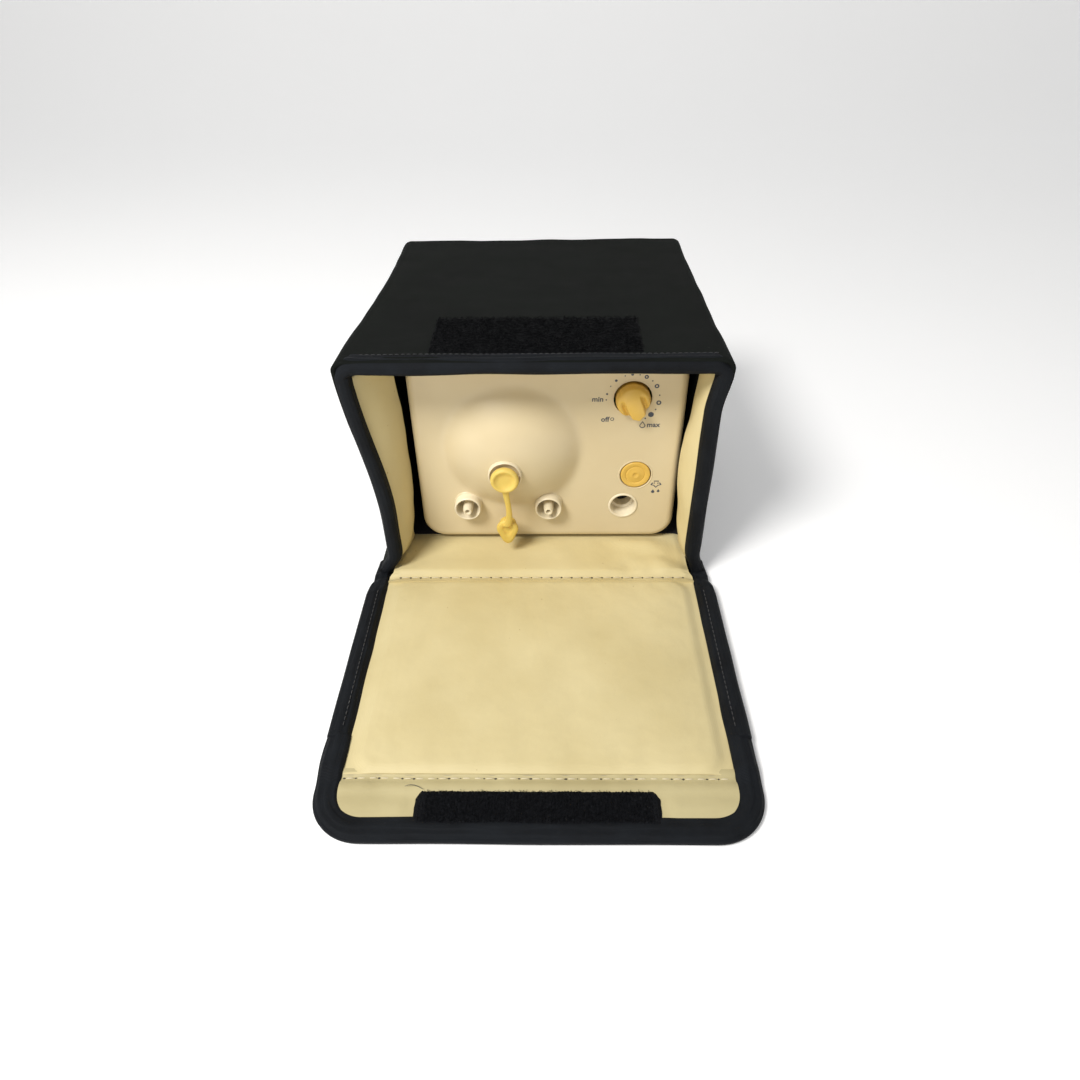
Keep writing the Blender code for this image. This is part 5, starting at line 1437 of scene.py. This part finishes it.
def make_collar():
    """The dome's boss round the port cap's disc."""
    boss = [(9.0, 8.0), (9.0, 14.2), (8.8, 15.1), (8.4, 15.5), (8.0, 15.3), (7.85, 14.6), (7.85, 13.0)]
    boss += [(2.3, 13.0), (2.3, 8.0), (9.0, 8.0)]
    settle_in(turned("dome_collar", boss, in_front(ANCHOR), PALE), "case")


# --- Printed marks ---------------------------------------------------------------------------


def flat_mark(name, loops):
    """Thin printed shapes just in front of the face, from loops of (x, z)."""
    points, faces = [], []
    for loop in loops:
        base = len(points)
        for y in (FACE_Y - 0.05 * MM, FACE_Y + 0.25 * MM):
            points += [(x, y, z) for x, z in loop]
        faces += tube_faces(2, len(loop), base)
    settle_in(make_piece(name, points, faces, INK, 30), "case")


def drop_loop(x, z, size):
    """A drop, point upward."""
    loop = []
    for step in range(28):
        angle = TAU * step / 28
        up = math.cos(angle)
        width = math.sin(angle) * (0.62 if up < 0 else 0.62 * (1 - up) ** 0.75)
        loop.append((x + size * width, z + size * (up * (1.0 if up > 0 else 0.62))))
    return loop


def ring_mark(name, outer, inner):
    """A thin printed outline between two loops of (x, z)."""
    points, faces = [], []
    count = len(outer)
    for loop, y in ((outer, -0.05), (inner, -0.05), (inner, 0.25), (outer, 0.25)):
        points += [(a, FACE_Y + y * MM, b) for a, b in loop]
    for row in range(4):
        after = (row + 1) % 4
        for i in range(count):
            j = (i + 1) % count
            faces.append((row * count + i, row * count + j, after * count + j, after * count + i))
    settle_in(make_piece(name, points, faces, INK, 30), "case")


def make_word(name, text, x, z, align):
    """A generic word in plain letters, printed on the face."""
    height = 4.0 * MM
    curve = bpy.data.curves.new(name, "FONT")
    curve.body = text
    curve.size = height
    curve.align_x = align
    curve.extrude = 0.12 * MM
    curve.offset = 0.022 * height
    curve.resolution_u = 3
    word = link(bpy.data.objects.new(name + "_text", curve))
    mesh = bpy.data.meshes.new_from_object(word)
    bpy.data.objects.remove(word)
    mesh.transform(Matrix.Translation((x, FACE_Y + 0.06 * MM, z)) @ Matrix.Rotation(math.pi / 2, 4, "X"))
    mesh.materials.clear()
    mesh.materials.append(INK)
    settle_in(link(bpy.data.objects.new(name, mesh)), "case")


def make_dial_marks():
    """The dial's scale: dots that grow from min to max, a drop, and three words."""
    radius = 13.6 * MM

    def place(degrees, out=radius):
        angle = math.radians(degrees)
        return DIAL.x + out * math.sin(angle), DIAL.z - out * math.cos(angle)

    def ring(name, centre, size, width, shape=disc_loop):
        ring_mark(name, shape(*centre, size * MM), shape(*centre, (size - width) * MM))

    # angle round the dial, size of the dot
    filled = {31.7: 0.42, 46.7: 1.5, 62.4: 0.4, 98: 0.38, 136.9: 0.38, 168.6: 0.36, 184.4: 0.75}
    filled.update({200.2: 0.34, 221.6: 0.7, 239: 0.32, 258.7: 0.55, 272.9: 0.4})
    flat_mark("dial_dots", [disc_loop(*place(angle), size * MM) for angle, size in filled.items()])
    for number, (angle, size) in enumerate(((79.7, 1.3), (121, 1.2), (153.3, 1.1))):
        ring(f"dial_ring_{number}", place(angle), size, 0.7)
    least, off, drop = place(272.9), place(320, 15.6 * MM), place(20.7, 16.8 * MM)
    ring("dial_ring_off", off, 1.0, 0.35)
    ring("dial_drop", drop, 2.6, 0.8, drop_loop)
    make_word("word_min", "min", least[0] - 1.4 * MM, least[1] - 0.9 * MM, "RIGHT")
    make_word("word_off", "off", off[0] - 1.6 * MM, off[1] - 1.4 * MM, "RIGHT")
    make_word("word_max", "max", drop[0] + 2.3 * MM, drop[1] - 1.0 * MM, "LEFT")


def make_letdown_icon():
    """A generic sign for milk let-down: an arch with feet over two drops."""
    x0, z0 = 64 * MM, 46.5 * MM
    arch = [(-3.1, -0.4), (-2.2, 1.2), (-0.9, 0.3), (-1.4, 2.4), (1.4, 2.4), (0.9, 0.3), (2.2, 1.2)]
    arch += [(3.1, -0.4), (1.4, -0.9), (0.0, -2.4), (-1.4, -0.9)]
    middle_z, share = 0.4, 0.72
    outer = [(x0 + a * MM, z0 + b * MM) for a, b in arch]
    inner = [(x0 + a * share * MM, z0 + (middle_z + (b - middle_z) * share) * MM) for a, b in arch]
    ring_mark("letdown_arrow", outer, inner)
    left = drop_loop(x0 - 1.4 * MM, z0 - 5.0 * MM, 1.6 * MM)
    right = drop_loop(x0 + 1.6 * MM, z0 - 4.6 * MM, 1.3 * MM)
    flat_mark("letdown_drops", [left, right])


# --- Carried-over solids, floor, light and camera ---------------------------------------------


def dress_cad_nodes():
    """Gives each CAD solid the material of its record slot."""
    for subpart in frame["record"]["subparts"]:
        solid = bpy.data.objects[subpart["node"]]
        material = FINISHES[subpart["material_slot"]]
        if solid.material_slots:
            for slot in solid.material_slots:
                slot.material = material
        else:
            solid.data.materials.append(material)


def make_floor():
    """A white table that sweeps up behind the object."""
    floor = Surface("white_table", (0.93, 0.93, 0.93), 0.7)
    floor.shader.inputs["Emission Color"].default_value = (1, 1, 1, 1)
    floor.shader.inputs["Emission Strength"].default_value = 0.22
    floor.colour(floor.mix(floor.noise(0.3, 3), (0.92, 0.92, 0.92), (0.94, 0.94, 0.94)))
    half, flat_to, bend, height, rows = 2.2, 1.0, 0.5, 1.5, 12
    profile = [(-half, 0.0), (flat_to, 0.0)]
    for step in range(1, rows + 1):
        angle = math.pi / 2 * step / rows
        profile.append((flat_to + bend * math.sin(angle), bend * (1 - math.cos(angle))))
    profile.append((flat_to + bend, height))
    points = [(x, y, z - 0.1 * MM) for y, z in profile for x in (-half, half)]
    make_piece("table_sweep", points, grid_faces(len(profile), 2), floor.material, 60)


def add_light(name, place, target, size, power, colour=(1, 1, 1)):
    lamp = bpy.data.lights.new(name, "AREA")
    lamp.shape = "DISK"
    lamp.size = size
    lamp.energy = power
    lamp.color = colour
    obj = link(bpy.data.objects.new(name, lamp))
    obj.location = place
    obj.rotation_euler = (Vector(target) - Vector(place)).to_track_quat("-Z", "Y").to_euler()


def make_studio():
    """Soft white light from all round, a large lamp on the upper left, and a weak one in front."""
    world = bpy.data.worlds.new("studio")
    world.use_nodes = True
    nodes, links = world.node_tree.nodes, world.node_tree.links
    nodes["Background"].inputs["Color"].default_value = (1, 1, 1, 1)
    seen = nodes.new("ShaderNodeMapRange")
    seen.inputs["To Min"].default_value = 0.3
    seen.inputs["To Max"].default_value = 0.95
    links.new(nodes.new("ShaderNodeLightPath").outputs["Is Camera Ray"], seen.inputs["Value"])
    links.new(seen.outputs["Result"], nodes["Background"].inputs["Strength"])
    bpy.context.scene.world = world
    bpy.context.scene.view_settings.view_transform = "Standard"
    add_light("key", (-0.50, -0.62, 0.95), (0.0, -0.05, 0.04), 0.38, 13.5, (1.0, 0.985, 0.96))
    add_light("fill", (-0.35, -1.0, 0.42), (0.0, -0.05, 0.05), 0.7, 1.2)


def make_camera():
    """A phone held over the flap, looking down into the case."""
    yaw, pitch, roll = math.radians(-1.1), math.radians(38.5), math.radians(-0.8)
    ahead = Vector((math.sin(yaw) * math.cos(pitch), math.cos(yaw) * math.cos(pitch), -math.sin(pitch)))
    right = ahead.cross(Vector((0, 0, 1))).normalized()
    up = right.cross(ahead)
    tilted_right = right * math.cos(roll) + up * math.sin(roll)
    tilted_up = up * math.cos(roll) - right * math.sin(roll)
    lens = bpy.data.cameras.new("camera")
    lens.lens = 25.23
    lens.sensor_width = 36
    lens.shift_y = -9 / 1080
    lens.clip_start = 0.01
    camera = link(bpy.data.objects.new("camera", lens))
    matrix = Matrix((tilted_right, tilted_up, -ahead)).transposed().to_4x4()
    matrix.translation = Vector((0.006, -0.407, 0.288))
    camera.matrix_world = matrix
    bpy.context.scene.camera = camera


make_camera()
make_studio()
make_floor()
dress_cad_nodes()

make_outer_shell()
make_rim()
make_rim_stitches()
make_loop_strip()
make_floor_lining()
for side in (-1, 1):
    make_wing(side)
make_top_lining()
make_painted_shade_liner()

make_flap_pad()
make_flap_outer()
make_tail_lining()
make_tail_outer()
for side in (-1, 1):
    make_side_band(side)
for side in (-1, 1):
    make_band_stitches(side)
make_tail_band()
make_hook_strip()
hinge_bend = ("case", "flap", HINGE_FROM, HINGE_TO)
tail_bend = ("flap", "tail", TAIL_FROM, TAIL_TO)
make_seam("hinge_seam", STITCH_Y, 5.95 * MM, 78 * MM, 83 * MM, 5.6 * MM, 5, *hinge_bend)
make_seam("tail_seam", TAIL_STITCH_Y, 4.0 * MM, 83 * MM, 83 * MM, 5.0 * MM, 6, *tail_bend)

make_face()
make_collar()
make_ports()
make_knob()
make_button()
make_socket()
make_port_cap()
make_dial_marks()
make_letdown_icon()
